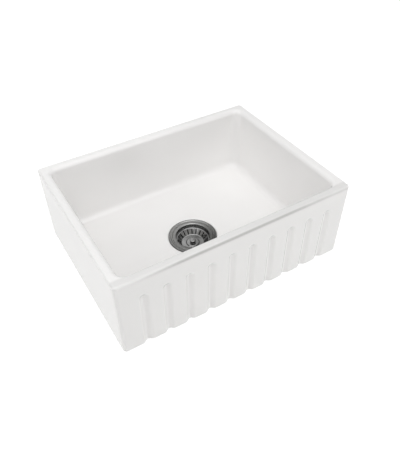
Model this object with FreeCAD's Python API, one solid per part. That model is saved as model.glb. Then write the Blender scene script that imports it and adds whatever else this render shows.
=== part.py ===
import FreeCAD
import Part
import math
import os

# A farmhouse apron front sink: a fireclay bowl with a fluted apron, and the basket waste that
# hangs in its drain. Sizes are millimetres. X runs along the apron to the right, Y from the apron
# to the back, Z up. The origin is the middle of the waste outlet's open end, on the drain's axis.

Vector = FreeCAD.Vector
UP = Vector(0, 0, 1)
FULL_TURN = 360.0
QUARTER_TURN = 90.0
PLACE_TOLERANCE = 0.01  # when edges are picked by their place

# ---------------------------------------------------------------- fireclay bowl
BOWL_WIDTH = 600.0
BOWL_DEPTH = 450.0
BOWL_HEIGHT = 212.0
WALL_AT_RIM = 24.0
WALL_AT_FLOOR = 27.0  # the inner walls lean in by the difference
FLOOR_THICKNESS = 28.0  # at the foot of the walls
FLOOR_FALL = 3.0  # how far the floor dips towards the drain
FALL_RADIUS = 160.0  # the dip's reach round the drain
DRAIN_FROM_FRONT = 218.0
OUTER_CORNER_RADIUS = 9.0
RIM_OUTER_RADIUS = 5.0
RIM_INNER_RADIUS = 12.0
BASE_CHAMFER = 2.5
BASIN_RADIUS = 20.0  # in the inner corners and where walls meet floor

# ---------------------------------------------------------------- flutes on the apron
FLUTE_COUNT = 10
FLUTE_PITCH = 53.4
FLUTE_RADIUS = 12.3  # of the round-nosed groove
FLUTE_DEPTH = 8.0
FLUTE_TOP_DROP = 50.0  # from the rim down to the top of a flute
FLUTE_LIP_RADIUS = 4.5  # the soft edge between groove and apron

# ---------------------------------------------------------------- drain hole in the bowl
HOLE_RADIUS = 45.0
REBATE_DEPTH = 2.5  # sunk seat for the waste's flange
REBATE_CLEARANCE = 1.0
SEAT_CHAMFER = 1.0
GASKET_SEAT_DEPTH = 2.0  # sunk seat under the floor for the lower gasket
GASKET_SEAT_CLEARANCE = 2.0

# ---------------------------------------------------------------- waste dish, pressed sheet
DISH_SHEET = 1.0
FLANGE_RADIUS = 63.5
FLANGE_EDGE_GAP = 0.6  # between the turned-down edge and the rebate
BEAD_OUTER_RADIUS = 62.2  # outer bead, from here
BEAD_INNER_RADIUS = 58.6  # to here
VALLEY_OUTER_RADIUS = 57.0  # flat groove that presses on the seal
VALLEY_INNER_RADIUS = 53.6
LIP_OUTER_RADIUS = 52.0  # raised lip round the throat
BEAD_HEIGHT = 1.5
LIP_HEIGHT = 1.7
THROAT_TOP_RADIUS = 44.1
THROAT_FOOT_RADIUS = 43.7
THROAT_LIP_CHAMFER = 1.4
THROAT_DEPTH = 10.4  # from the flange's seat to the ledge
LEDGE_INNER_RADIUS = 42.0
DISH_WAIST_RADIUS = 34.0
DISH_DEPTH = 27.7  # from the ledge to the dish's floor
DISH_SKIRT = 5.5  # upright stretch above the floor
WELL_MOUTH_RADIUS = 11.0
WELL_FOOT_RADIUS = 9.8
WELL_DEPTH = 9.0
WINDOW_COUNT = 6  # drain windows in the dish's floor
WINDOW_INNER_RADIUS = 14.0
WINDOW_OUTER_RADIUS = 26.0
SPOKE_WIDTH = 5.0

# ---------------------------------------------------------------- seals
SEAL_THICKNESS = 2.1
SEAL_INNER_RADIUS = 50.0
SEAL_OUTER_RADIUS = 60.5
GASKET_THICKNESS = 3.0
GASKET_INNER_RADIUS = 47.0
GASKET_OUTER_RADIUS = 56.0

# ---------------------------------------------------------------- strainer basket, pressed sheet
BASKET_SHEET = 0.8
BASKET_RIM_CLEARANCE = 0.4  # between the rim and the throat
BASKET_SHOULDER_RADIUS = 41.0
BASKET_FLOOR_RADIUS = 29.6
BASKET_DEPTH = 14.5
HUB_PLATE_OUTER_RADIUS = 18.0  # foot of the raised middle
HUB_PLATE_INNER_RADIUS = 15.5
HUB_PLATE_RISE = 2.6
SLOT_COUNT = 20
SLOT_WIDTH = 3.4
SLOT_INNER_RADIUS = 31.0
SLOT_OUTER_RADIUS = 40.0

# ---------------------------------------------------------------- hub, post and knob
HUB_SLEEVE_RADIUS = 5.5
HUB_FLANGE_RADIUS = 8.0
HUB_FLANGE_THICKNESS = 1.0
HUB_SLEEVE_BELOW = 0.3  # how far the sleeve shows under the basket's middle
FITTED_CLEARANCE = 0.05  # between pieces pushed or screwed together
SLIDING_CLEARANCE = 0.08  # between post and hub
POST_RADIUS = 3.0
POST_SHOULDER_RADIUS = 4.5
STOPPER_LIFT = 8.0  # how far the knob pulls the stopper up
LIFT_STOP_GAP = 0.4  # left between the post's shoulder and the hub then
POST_NECK_RADIUS = 2.5
POST_TIP_RADIUS = 2.0
POST_TIP_LENGTH = 5.7  # below the clip
TIP_BEAD_RADIUS = 2.5
TIP_BEAD_LENGTH = 0.8
KNOB_RADIUS = 8.0
KNOB_NECK_RADIUS = 4.6
KNOB_HEIGHT = 7.0
KNOB_CAP_HEIGHT = 4.2
KNOB_CHAMFER = 1.0
KNOB_GAP = 0.4  # above the hub when the drain is closed
KNOB_BORE_DEPTH = 5.0

# ---------------------------------------------------------------- stopper
STOPPER_RADIUS = 30.5
STOPPER_THICKNESS = 3.0
PLATE_RADIUS = 26.0
PLATE_THICKNESS = 1.0
CLIP_RADIUS = 5.5
CLIP_THICKNESS = 1.0
CLIP_GAP_WIDTH = 3.0
SPRING_RADIUS = 3.0
SPRING_LENGTH = 3.4
SPRING_SLIT_WIDTH = 0.8

# ---------------------------------------------------------------- clamp screw, washer and nut
SCREW_RADIUS = 4.0
SCREW_HEAD_RADIUS = 8.0
SCREW_HEAD_HEIGHT = 6.2
SCREW_LENGTH = 23.8  # under the head
SCREW_CLEARANCE = 0.3  # in the dish
SOCKET_CLEARANCE = 0.3  # round the post's spring
SOCKET_DEPTH = 5.0
DRIVER_SLOT_WIDTH = 1.6
DRIVER_SLOT_DEPTH = 2.0
WASHER_RADIUS = 7.5
WASHER_THICKNESS = 0.8
NUT_ACROSS_FLATS = 13.0
NUT_HEIGHT = 12.0

# ---------------------------------------------------------------- moulded waste body
BODY_WALL = 3.0
BODY_HEIGHT = 69.0
MOUTH_FLANGE_RADIUS = 56.0
SKIRT_RADIUS = 49.5  # outside
SKIRT_HEIGHT = 26.0
OUTLET_RADIUS = 23.9  # over the thread
OUTLET_LENGTH = 27.0
THREAD_LENGTH = 20.0
COLLAR_RADIUS = 27.0
COLLAR_THICKNESS = 4.0
SPIDER_ARM_COUNT = 4
SPIDER_ARM_WIDTH = 3.0
SPIDER_ARM_HEIGHT = 13.0
SPIDER_HUB_RADIUS = 10.0
SPIDER_HUB_HEIGHT = 17.0
SPIDER_GAP = 3.0  # under the dish's well
GUSSET_COUNT = 8
GUSSET_WIDTH = 2.4
GUSSET_HEIGHT = 20.0

# ---------------------------------------------------------------- heights that follow from these
UNDERSIDE_Z = BODY_HEIGHT + GASKET_THICKNESS - GASKET_SEAT_DEPTH
RIM_Z = UNDERSIDE_Z + BOWL_HEIGHT
FLOOR_Z = UNDERSIDE_Z + FLOOR_THICKNESS
DRAIN_FLOOR_Z = FLOOR_Z - FLOOR_FALL
REBATE_Z = DRAIN_FLOOR_Z - REBATE_DEPTH
FLANGE_SEAT_Z = REBATE_Z + SEAL_THICKNESS
LEDGE_Z = FLANGE_SEAT_Z - THROAT_DEPTH  # middle of the sheet
LEDGE_TOP_Z = LEDGE_Z + DISH_SHEET / 2
DISH_FLOOR_Z = LEDGE_Z - DISH_DEPTH
DISH_FLOOR_TOP_Z = DISH_FLOOR_Z + DISH_SHEET / 2
WELL_Z = DISH_FLOOR_Z - WELL_DEPTH
WELL_TOP_Z = WELL_Z + DISH_SHEET / 2
BASKET_RIM_Z = LEDGE_TOP_Z + BASKET_SHEET / 2
BASKET_FLOOR_Z = BASKET_RIM_Z - BASKET_DEPTH
HUB_PLATE_Z = BASKET_FLOOR_Z + HUB_PLATE_RISE
HUB_PLATE_TOP_Z = HUB_PLATE_Z + BASKET_SHEET / 2
HUB_TOP_Z = HUB_PLATE_TOP_Z + HUB_FLANGE_THICKNESS
HUB_FOOT_Z = HUB_PLATE_Z - BASKET_SHEET / 2 - HUB_SLEEVE_BELOW
KNOB_FOOT_Z = HUB_TOP_Z + KNOB_GAP
STOPPER_TOP_Z = DISH_FLOOR_TOP_Z + STOPPER_THICKNESS
PLATE_TOP_Z = STOPPER_TOP_Z + PLATE_THICKNESS
CLIP_FOOT_Z = DISH_FLOOR_TOP_Z - CLIP_THICKNESS
TIP_Z = CLIP_FOOT_Z - POST_TIP_LENGTH
SCREW_SEAT_Z = WELL_TOP_Z + WASHER_THICKNESS
SCREW_HEAD_TOP_Z = SCREW_SEAT_Z + SCREW_HEAD_HEIGHT
SCREW_END_Z = SCREW_SEAT_Z - SCREW_LENGTH
SPIDER_Z = WELL_Z - DISH_SHEET / 2 - SPIDER_GAP - SPIDER_HUB_HEIGHT
SKIRT_FOOT_Z = BODY_HEIGHT - SKIRT_HEIGHT
FRONT_Y = -DRAIN_FROM_FRONT
MIDDLE_Y = FRONT_Y + BOWL_DEPTH / 2


# ---------------------------------------------------------------- outlines and turned shapes
def outline_face(points):
    """Flat face in the XZ plane from its corners, given as (radius, height) pairs."""
    corners = [Vector(radius, 0, height) for radius, height in points]
    return Part.Face(Part.makePolygon(corners + corners[:1]))


def offset_path(points, distance):
    """Path parallel to another, to its left by the distance when X points right and Z up."""
    runs = []
    for start, end in zip(points, points[1:]):
        run = Vector(end[0] - start[0], 0, end[1] - start[1])
        runs.append(run.normalize())
    shifted = []
    for index, (radius, height) in enumerate(points):
        before = runs[max(index - 1, 0)]
        after = runs[min(index, len(runs) - 1)]
        mitre = distance / (1 + before.dot(after))
        shifted.append((radius - mitre * (before.z + after.z), height + mitre * (before.x + after.x)))
    return shifted


def turned_block(points):
    """Solid of revolution about the drain's axis, from the corners of its half section."""
    solid = outline_face(points).revolve(Vector(0, 0, 0), UP, FULL_TURN)
    if solid.Volume < 0:
        solid = solid.reversed()
    return Part.Solid(solid.Shells[0])


def turned_sheet(points, sheet):
    """A pressed or moulded wall of even thickness, turned about the drain's axis. The points are
    the middle of the wall."""
    return turned_block(offset_path(points, sheet / 2) + offset_path(points, -sheet / 2)[::-1])


def cylinder(radius, low, high):
    """Upright cylinder on the drain's axis, from one height to another."""
    return Part.makeCylinder(radius, high - low, Vector(0, 0, low), UP)


def tube(inner, outer, low, high):
    """Upright tube on the drain's axis."""
    return cylinder(outer, low, high).cut(cylinder(inner, low, high))


def radial_bar(inner, outer, width, low, high, angle):
    """Square bar that runs outwards from the drain's axis at an angle in degrees."""
    bar = Part.makeBox(outer - inner, width, high - low, Vector(inner, -width / 2, low))
    return bar.rotate(Vector(0, 0, 0), UP, angle)


def export(name, shape):
    """Write one sub-part, and report its volume."""
    shape = shape.removeSplitter()
    assert shape.isValid(), name
    shape.exportStep("parts/" + name + ".step")
    print(name, len(shape.Solids), round(shape.Volume, 1))


# ---------------------------------------------------------------- the bowl
def flute_cutter(x):
    """Round-nosed cutter of one flute: a cylinder that stands in front of the apron, with a
    ball at its top and its foot below the sink."""
    axis_y = FRONT_Y - (FLUTE_RADIUS - FLUTE_DEPTH)
    half_chord = math.sqrt(FLUTE_RADIUS**2 - (FLUTE_RADIUS - FLUTE_DEPTH) ** 2)
    ball_z = RIM_Z - FLUTE_TOP_DROP - half_chord
    foot_z = UNDERSIDE_Z - FLUTE_RADIUS
    shank = Part.makeCylinder(FLUTE_RADIUS, ball_z - foot_z, Vector(x, axis_y, foot_z), UP)
    ball = Part.makeSphere(FLUTE_RADIUS, Vector(x, axis_y, ball_z))
    return shank.fuse(ball)


def on_plane(edge, axis, value):
    """Whether an edge lies wholly in the plane where the named coordinate has the value."""
    low = getattr(edge.BoundBox, axis + "Min")
    high = getattr(edge.BoundBox, axis + "Max")
    return abs(low - value) < PLACE_TOLERANCE and abs(high - value) < PLACE_TOLERANCE


def round_axis(edge):
    """Whether an edge is a ring round the drain's axis and lies inside the floor's dip."""
    box = edge.BoundBox
    centred = abs(box.Center.x) < PLACE_TOLERANCE and abs(box.Center.y) < PLACE_TOLERANCE
    return centred and 0 < box.XLength < FALL_RADIUS


def outer_block():
    """The bowl's outside: a block with round upright corners, the flutes cut into its apron with
    soft lips, and a soft edge round the base that follows the flutes."""
    corner = Vector(-BOWL_WIDTH / 2, FRONT_Y, UNDERSIDE_Z)
    block = Part.makeBox(BOWL_WIDTH, BOWL_DEPTH, BOWL_HEIGHT, corner)
    upright = [e for e in block.Edges if abs(e.BoundBox.ZLength - BOWL_HEIGHT) < 1]
    block = block.makeFillet(OUTER_CORNER_RADIUS, upright)
    first = -FLUTE_PITCH * (FLUTE_COUNT - 1) / 2
    for index in range(FLUTE_COUNT):
        block = block.cut(flute_cutter(first + index * FLUTE_PITCH))
    reach = BOWL_WIDTH / 2 - OUTER_CORNER_RADIUS
    lips = []
    for edge in block.Edges:
        box = edge.BoundBox
        inside = box.XMin > -reach + 1 and box.XMax < reach - 1
        above = box.ZMax > UNDERSIDE_Z + 1
        if on_plane(edge, "Y", FRONT_Y) and inside and above:
            lips.append(edge)
    block = block.makeFillet(FLUTE_LIP_RADIUS, lips)
    base = [e for e in block.Edges if on_plane(e, "Z", UNDERSIDE_Z)]
    block = block.makeChamfer(BASE_CHAMFER, base)
    rim = [e for e in block.Edges if on_plane(e, "Z", RIM_Z)]
    return block.makeFillet(RIM_OUTER_RADIUS, rim)


def cavity():
    """The room inside the walls, which lean in towards the floor, with its cove and the
    shallow dip to the drain."""
    half_width = BOWL_WIDTH / 2
    half_depth = BOWL_DEPTH / 2
    height = RIM_Z - FLOOR_Z
    foot_x = half_width - WALL_AT_FLOOR
    foot_y = half_depth - WALL_AT_FLOOR
    top_x = half_width - WALL_AT_RIM
    top_y = half_depth - WALL_AT_RIM
    room = Part.makeWedge(-foot_x, 0, -foot_y, -top_y, -top_x, foot_x, height, foot_y, top_y, top_x)
    room.rotate(Vector(0, 0, 0), Vector(1, 0, 0), QUARTER_TURN)
    room.translate(Vector(0, MIDDLE_Y, FLOOR_Z))
    soft = [e for e in room.Edges if not on_plane(e, "Z", RIM_Z)]
    room = room.makeFillet(BASIN_RADIUS, soft)
    rebate_radius = FLANGE_RADIUS + REBATE_CLEARANCE
    dip = turned_block(
        [
            (0, DRAIN_FLOOR_Z),
            (rebate_radius, DRAIN_FLOOR_Z),
            (FALL_RADIUS, FLOOR_Z),
            (FALL_RADIUS, FLOOR_Z + FLOOR_FALL),
            (0, FLOOR_Z + FLOOR_FALL),
        ]
    )
    return room.fuse(dip)


def bowl():
    """The fireclay bowl in one piece."""
    body = outer_block().cut(cavity())
    reach_x = BOWL_WIDTH / 2 - WALL_AT_RIM / 2
    reach_y = BOWL_DEPTH / 2 - WALL_AT_RIM / 2
    mouth = []
    for edge in body.Edges:
        middle = edge.CenterOfMass
        inside = abs(middle.x) < reach_x and abs(middle.y - MIDDLE_Y) < reach_y
        if on_plane(edge, "Z", RIM_Z) and inside:
            mouth.append(edge)
    body = body.makeFillet(RIM_INNER_RADIUS, mouth)
    rebate_radius = FLANGE_RADIUS + REBATE_CLEARANCE
    gasket_seat_radius = GASKET_OUTER_RADIUS + GASKET_SEAT_CLEARANCE
    body = body.cut(cylinder(HOLE_RADIUS, UNDERSIDE_Z - 1, FLOOR_Z))
    body = body.cut(cylinder(rebate_radius, REBATE_Z, FLOOR_Z))
    body = body.cut(cylinder(gasket_seat_radius, UNDERSIDE_Z - 1, UNDERSIDE_Z + GASKET_SEAT_DEPTH))
    seats = []
    for edge in body.Edges:
        at_mouth = on_plane(edge, "Z", DRAIN_FLOOR_Z) or on_plane(edge, "Z", UNDERSIDE_Z)
        if round_axis(edge) and at_mouth:
            seats.append(edge)
    return body.makeChamfer(SEAT_CHAMFER, seats)


# ---------------------------------------------------------------- the dish and its seals
def waste_dish():
    """The pressed dish: beaded flange, throat, ledge for the basket, cone, and a floor with
    drain windows and a well for the screw's head."""
    middle = DISH_SHEET / 2
    low = FLANGE_SEAT_Z + middle
    lip = low + LIP_HEIGHT
    points = [
        (FLANGE_RADIUS - middle, REBATE_Z + FLANGE_EDGE_GAP),
        (BEAD_OUTER_RADIUS, low + BEAD_HEIGHT),
        (BEAD_INNER_RADIUS, low + BEAD_HEIGHT),
        (VALLEY_OUTER_RADIUS, low),
        (VALLEY_INNER_RADIUS, low),
        (LIP_OUTER_RADIUS, lip),
        (THROAT_TOP_RADIUS + THROAT_LIP_CHAMFER, lip),
        (THROAT_TOP_RADIUS, lip - THROAT_LIP_CHAMFER),
        (THROAT_FOOT_RADIUS, LEDGE_Z),
        (LEDGE_INNER_RADIUS, LEDGE_Z),
        (DISH_WAIST_RADIUS, DISH_FLOOR_Z + DISH_SKIRT),
        (DISH_WAIST_RADIUS, DISH_FLOOR_Z),
        (WELL_MOUTH_RADIUS, DISH_FLOOR_Z),
        (WELL_FOOT_RADIUS, WELL_Z),
        (SCREW_RADIUS + SCREW_CLEARANCE, WELL_Z),
    ]
    dish = turned_sheet(points, DISH_SHEET)
    low = DISH_FLOOR_Z - DISH_SHEET
    high = DISH_FLOOR_Z + DISH_SHEET
    windows = tube(WINDOW_INNER_RADIUS, WINDOW_OUTER_RADIUS, low, high)
    for index in range(WINDOW_COUNT):
        angle = FULL_TURN * index / WINDOW_COUNT
        windows = windows.cut(radial_bar(0, FLANGE_RADIUS, SPOKE_WIDTH, low, high, angle))
    return dish.cut(windows)


def flange_seal():
    """The soft ring between the dish's flange and the bowl's rebate."""
    return tube(SEAL_INNER_RADIUS, SEAL_OUTER_RADIUS, REBATE_Z, FLANGE_SEAT_Z)


def under_gasket():
    """The rubber gasket between the bowl's underside and the waste body."""
    return tube(GASKET_INNER_RADIUS, GASKET_OUTER_RADIUS, BODY_HEIGHT, BODY_HEIGHT + GASKET_THICKNESS)


# ---------------------------------------------------------------- the basket and what slides in it
def basket():
    """The strainer basket: a rim that sits on the dish's ledge, a slotted cone and a floor
    with a raised middle."""
    rim_radius = THROAT_FOOT_RADIUS - DISH_SHEET / 2 - BASKET_RIM_CLEARANCE
    points = [
        (rim_radius, BASKET_RIM_Z),
        (BASKET_SHOULDER_RADIUS, BASKET_RIM_Z),
        (BASKET_FLOOR_RADIUS, BASKET_FLOOR_Z),
        (HUB_PLATE_OUTER_RADIUS, BASKET_FLOOR_Z),
        (HUB_PLATE_INNER_RADIUS, HUB_PLATE_Z),
        (HUB_SLEEVE_RADIUS + FITTED_CLEARANCE, HUB_PLATE_Z),
    ]
    shell = turned_sheet(points, BASKET_SHEET)
    low = BASKET_FLOOR_Z - BASKET_SHEET
    high = BASKET_RIM_Z + BASKET_SHEET
    cutters = []
    for index in range(SLOT_COUNT):
        angle = FULL_TURN * (index + 0.5) / SLOT_COUNT
        cutters.append(radial_bar(SLOT_INNER_RADIUS, SLOT_OUTER_RADIUS, SLOT_WIDTH, low, high, angle))
    return shell.cut(cutters)


def basket_hub():
    """The flanged sleeve in the basket's middle that guides the post."""
    bore = POST_RADIUS + SLIDING_CLEARANCE
    return turned_block(
        [
            (bore, HUB_FOOT_Z),
            (HUB_SLEEVE_RADIUS, HUB_FOOT_Z),
            (HUB_SLEEVE_RADIUS, HUB_PLATE_TOP_Z),
            (HUB_FLANGE_RADIUS, HUB_PLATE_TOP_Z),
            (HUB_FLANGE_RADIUS, HUB_TOP_Z),
            (bore, HUB_TOP_Z),
        ]
    )


def lift_post():
    """The post: knob end, shoulder on the stopper's plate, neck through the stopper, groove for
    the clip, and a thin tip that ends in a bead."""
    top = KNOB_FOOT_Z + KNOB_BORE_DEPTH
    shoulder_top = HUB_FOOT_Z - STOPPER_LIFT - LIFT_STOP_GAP
    return turned_block(
        [
            (0, TIP_Z),
            (TIP_BEAD_RADIUS, TIP_Z),
            (TIP_BEAD_RADIUS, TIP_Z + TIP_BEAD_LENGTH),
            (POST_TIP_RADIUS, TIP_Z + TIP_BEAD_LENGTH),
            (POST_TIP_RADIUS, DISH_FLOOR_TOP_Z),
            (POST_NECK_RADIUS, DISH_FLOOR_TOP_Z),
            (POST_NECK_RADIUS, PLATE_TOP_Z),
            (POST_SHOULDER_RADIUS, PLATE_TOP_Z),
            (POST_SHOULDER_RADIUS, shoulder_top),
            (POST_RADIUS, shoulder_top),
            (POST_RADIUS, top),
            (0, top),
        ]
    )


def lift_knob():
    """The mushroom knob, with a blind bore for the post."""
    top = KNOB_FOOT_Z + KNOB_HEIGHT
    cap_foot = top - KNOB_CAP_HEIGHT
    bore = POST_RADIUS + FITTED_CLEARANCE
    bore_top = KNOB_FOOT_Z + KNOB_BORE_DEPTH
    return turned_block(
        [
            (bore, KNOB_FOOT_Z),
            (KNOB_NECK_RADIUS, KNOB_FOOT_Z),
            (KNOB_NECK_RADIUS, cap_foot),
            (KNOB_RADIUS - KNOB_CHAMFER, cap_foot),
            (KNOB_RADIUS, cap_foot + KNOB_CHAMFER),
            (KNOB_RADIUS, top - 2 * KNOB_CHAMFER),
            (KNOB_RADIUS - KNOB_CHAMFER, top - KNOB_CHAMFER / 2),
            (KNOB_RADIUS - 3 * KNOB_CHAMFER, top),
            (0, top),
            (0, bore_top),
            (bore, bore_top),
        ]
    )


def stopper_seal():
    """The rubber disc that lies over the dish's drain windows."""
    return tube(POST_NECK_RADIUS + FITTED_CLEARANCE, STOPPER_RADIUS, DISH_FLOOR_TOP_Z, STOPPER_TOP_Z)


def stopper_plate():
    """The plate that backs the rubber disc."""
    return tube(POST_NECK_RADIUS + FITTED_CLEARANCE, PLATE_RADIUS, STOPPER_TOP_Z, PLATE_TOP_Z)


def stopper_clip():
    """The open clip in the post's groove, under the disc."""
    ring = tube(POST_TIP_RADIUS + FITTED_CLEARANCE, CLIP_RADIUS, CLIP_FOOT_Z, DISH_FLOOR_TOP_Z)
    reach = CLIP_RADIUS * 2
    gap = radial_bar(0, reach, CLIP_GAP_WIDTH, CLIP_FOOT_Z, DISH_FLOOR_TOP_Z, QUARTER_TURN)
    return ring.cut(gap)


def post_spring():
    """The split sleeve on the post's tip, between the bead and the clip."""
    low = TIP_Z + TIP_BEAD_LENGTH
    high = low + SPRING_LENGTH
    inner = POST_TIP_RADIUS + FITTED_CLEARANCE
    sleeve = turned_block(
        [
            (inner, low),
            (TIP_BEAD_RADIUS, low),
            (SPRING_RADIUS, (low + high) / 2),
            (TIP_BEAD_RADIUS, high),
            (inner, high),
        ]
    )
    slit = radial_bar(0, SPRING_RADIUS * 2, SPRING_SLIT_WIDTH, low, high, QUARTER_TURN)
    return sleeve.cut(slit)


# ---------------------------------------------------------------- the clamp below
def clamp_screw():
    """The long screw that pulls dish and waste body together. Its head has a socket for the
    post's tip and a driver slot."""
    socket = SPRING_RADIUS + SOCKET_CLEARANCE
    socket_floor = SCREW_HEAD_TOP_Z - SOCKET_DEPTH
    screw = turned_block(
        [
            (0, SCREW_END_Z),
            (SCREW_RADIUS, SCREW_END_Z),
            (SCREW_RADIUS, SCREW_SEAT_Z),
            (SCREW_HEAD_RADIUS, SCREW_SEAT_Z),
            (SCREW_HEAD_RADIUS, SCREW_HEAD_TOP_Z),
            (socket, SCREW_HEAD_TOP_Z),
            (socket, socket_floor),
            (0, socket_floor),
        ]
    )
    low = SCREW_HEAD_TOP_Z - DRIVER_SLOT_DEPTH
    high = SCREW_HEAD_TOP_Z + 1
    reach = SCREW_HEAD_RADIUS * 2
    for angle in (0, FULL_TURN / 2):
        screw = screw.cut(radial_bar(0, reach, DRIVER_SLOT_WIDTH, low, high, angle))
    return screw


def screw_washer():
    """The nylon washer between the screw's head and the dish's well."""
    return tube(SCREW_RADIUS + SCREW_CLEARANCE, WASHER_RADIUS, WELL_TOP_Z, SCREW_SEAT_Z)


def hexagon(across_flats, low, high):
    """Six-sided bar on the drain's axis."""
    corner = across_flats / math.sqrt(3)
    points = []
    for index in range(7):
        angle = math.radians(60 * index)
        points.append(Vector(corner * math.cos(angle), corner * math.sin(angle), low))
    return Part.Face(Part.makePolygon(points)).extrude(Vector(0, 0, high - low))


def clamp_nut():
    """The brass insert nut, moulded into the spider's hub."""
    nut = hexagon(NUT_ACROSS_FLATS, SPIDER_Z, SPIDER_Z + NUT_HEIGHT)
    return nut.cut(cylinder(SCREW_RADIUS + FITTED_CLEARANCE, SPIDER_Z, SPIDER_Z + NUT_HEIGHT))


def gusset(angle):
    """One triangular rib under the mouth's flange."""
    top = BODY_HEIGHT - BODY_WALL
    inner = SKIRT_RADIUS - BODY_WALL / 2
    outer = MOUTH_FLANGE_RADIUS - BODY_WALL / 2
    half = GUSSET_WIDTH / 2
    corners = [
        Vector(inner, -half, top),
        Vector(outer, -half, top),
        Vector(inner, -half, top - GUSSET_HEIGHT),
        Vector(inner, -half, top),
    ]
    rib = Part.Face(Part.makePolygon(corners)).extrude(Vector(0, GUSSET_WIDTH, 0))
    return rib.rotate(Vector(0, 0, 0), UP, angle)


def waste_body():
    """The moulded body: mouth flange under the gasket, skirt, funnel, threaded outlet, and a
    spider inside that holds the nut."""
    middle = BODY_WALL / 2
    points = [
        (MOUTH_FLANGE_RADIUS, BODY_HEIGHT - middle),
        (SKIRT_RADIUS - middle, BODY_HEIGHT - middle),
        (SKIRT_RADIUS - middle, SKIRT_FOOT_Z),
        (OUTLET_RADIUS - middle, OUTLET_LENGTH),
        (OUTLET_RADIUS - middle, 0),
    ]
    wall = turned_sheet(points, BODY_WALL)
    room = turned_block([(0, 0), *points[:0:-1], (0, BODY_HEIGHT - middle)])
    collar = tube(OUTLET_RADIUS - middle, COLLAR_RADIUS, THREAD_LENGTH, THREAD_LENGTH + COLLAR_THICKNESS)
    additions = [collar, cylinder(SPIDER_HUB_RADIUS, SPIDER_Z, SPIDER_Z + SPIDER_HUB_HEIGHT)]
    for index in range(SPIDER_ARM_COUNT):
        angle = FULL_TURN * (index + 0.5) / SPIDER_ARM_COUNT
        arm_top = SPIDER_Z + SPIDER_ARM_HEIGHT
        arm = radial_bar(0, SKIRT_RADIUS, SPIDER_ARM_WIDTH, SPIDER_Z, arm_top, angle)
        additions.append(arm.common(room))
    for index in range(GUSSET_COUNT):
        additions.append(gusset(FULL_TURN * index / GUSSET_COUNT))
    body = wall.fuse(additions)
    pocket = hexagon(NUT_ACROSS_FLATS, SPIDER_Z - 1, SPIDER_Z + NUT_HEIGHT)
    bore = cylinder(SCREW_RADIUS + SCREW_CLEARANCE, SPIDER_Z - 1, BODY_HEIGHT)
    return body.cut([pocket, bore])


SUB_PARTS = {
    "bowl": bowl,
    "flange_seal": flange_seal,
    "waste_dish": waste_dish,
    "under_gasket": under_gasket,
    "waste_body": waste_body,
    "clamp_screw": clamp_screw,
    "screw_washer": screw_washer,
    "clamp_nut": clamp_nut,
    "basket": basket,
    "basket_hub": basket_hub,
    "lift_post": lift_post,
    "lift_knob": lift_knob,
    "stopper_seal": stopper_seal,
    "stopper_plate": stopper_plate,
    "stopper_clip": stopper_clip,
    "post_spring": post_spring,
}

os.makedirs("parts", exist_ok=True)
for name, make in SUB_PARTS.items():
    export(name, make())
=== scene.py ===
"""Visual model of a farmhouse apron front sink with its basket waste, dressed on the CAD frame."""

import logging
import math
from dataclasses import dataclass
from enum import Enum
from typing import Sequence

import bmesh
import bpy
import numpy as np
from mathutils import Matrix, Vector


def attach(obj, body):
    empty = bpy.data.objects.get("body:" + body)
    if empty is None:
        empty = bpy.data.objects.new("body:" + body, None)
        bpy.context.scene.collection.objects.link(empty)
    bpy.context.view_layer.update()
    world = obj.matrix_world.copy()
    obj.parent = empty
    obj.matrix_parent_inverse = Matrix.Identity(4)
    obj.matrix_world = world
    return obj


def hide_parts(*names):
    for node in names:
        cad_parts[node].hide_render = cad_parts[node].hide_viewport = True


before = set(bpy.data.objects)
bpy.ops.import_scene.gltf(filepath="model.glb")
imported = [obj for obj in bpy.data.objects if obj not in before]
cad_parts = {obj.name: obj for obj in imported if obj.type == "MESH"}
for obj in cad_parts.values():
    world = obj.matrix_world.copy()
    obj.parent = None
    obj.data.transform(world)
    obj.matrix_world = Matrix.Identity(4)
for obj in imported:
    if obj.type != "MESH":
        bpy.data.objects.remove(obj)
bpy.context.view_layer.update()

LOG = logging.getLogger("sink")
MM = 0.001  # lengths below are in millimetres until a mesh is written
TURN = 2 * math.pi
MERGE_DISTANCE = 1e-6  # metres
PLAY = 0.05  # gap between pieces that sit in each other


class Body(Enum):
    """The rigid bodies of the frame that pieces ride on."""

    SINK = "sink"
    BASKET = "basket"
    STOPPER = "stopper"


# ---------------------------------------------------------------- colour and node helpers
def linear(hex_colour: str) -> tuple[float, float, float, float]:
    """Turn an sRGB hex colour into the linear values that shaders take.

    Args:
        hex_colour: six hex digits after a hash sign.

    Returns:
        Linear red, green, blue and an alpha of one.
    """
    parts = [int(hex_colour[i : i + 2], 16) / 255 for i in (1, 3, 5)]
    light = [p / 12.92 if p <= 0.04045 else ((p + 0.055) / 1.055) ** 2.4 for p in parts]
    return (light[0], light[1], light[2], 1.0)


def add(tree: bpy.types.NodeTree, kind: str, inputs: dict | None = None, **settings) -> bpy.types.Node:
    """Add one node with its settings and its inputs, which are links or plain values.

    Args:
        tree: node tree to add to.
        kind: node type, without the ShaderNode prefix.
        inputs: socket name or number to an output socket or a value.
        settings: node attributes.

    Returns:
        The new node.
    """
    node = tree.nodes.new("ShaderNode" + kind)
    for name, value in settings.items():
        setattr(node, name, value)
    for name, value in (inputs or {}).items():
        if isinstance(value, bpy.types.NodeSocket):
            tree.links.new(value, node.inputs[name])
        else:
            node.inputs[name].default_value = value
    return node


def new_material(name: str) -> tuple[bpy.types.Material, bpy.types.NodeTree]:
    """Make an empty node material.

    Args:
        name: the material's name.

    Returns:
        The material and its node tree.
    """
    material = bpy.data.materials.new(name)
    material.use_nodes = True
    material.node_tree.nodes.clear()
    return material, material.node_tree


def close_material(tree: bpy.types.NodeTree, shader: bpy.types.NodeSocket) -> None:
    """Send a shader to the material's surface."""
    add(tree, "OutputMaterial", {"Surface": shader})


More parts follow.
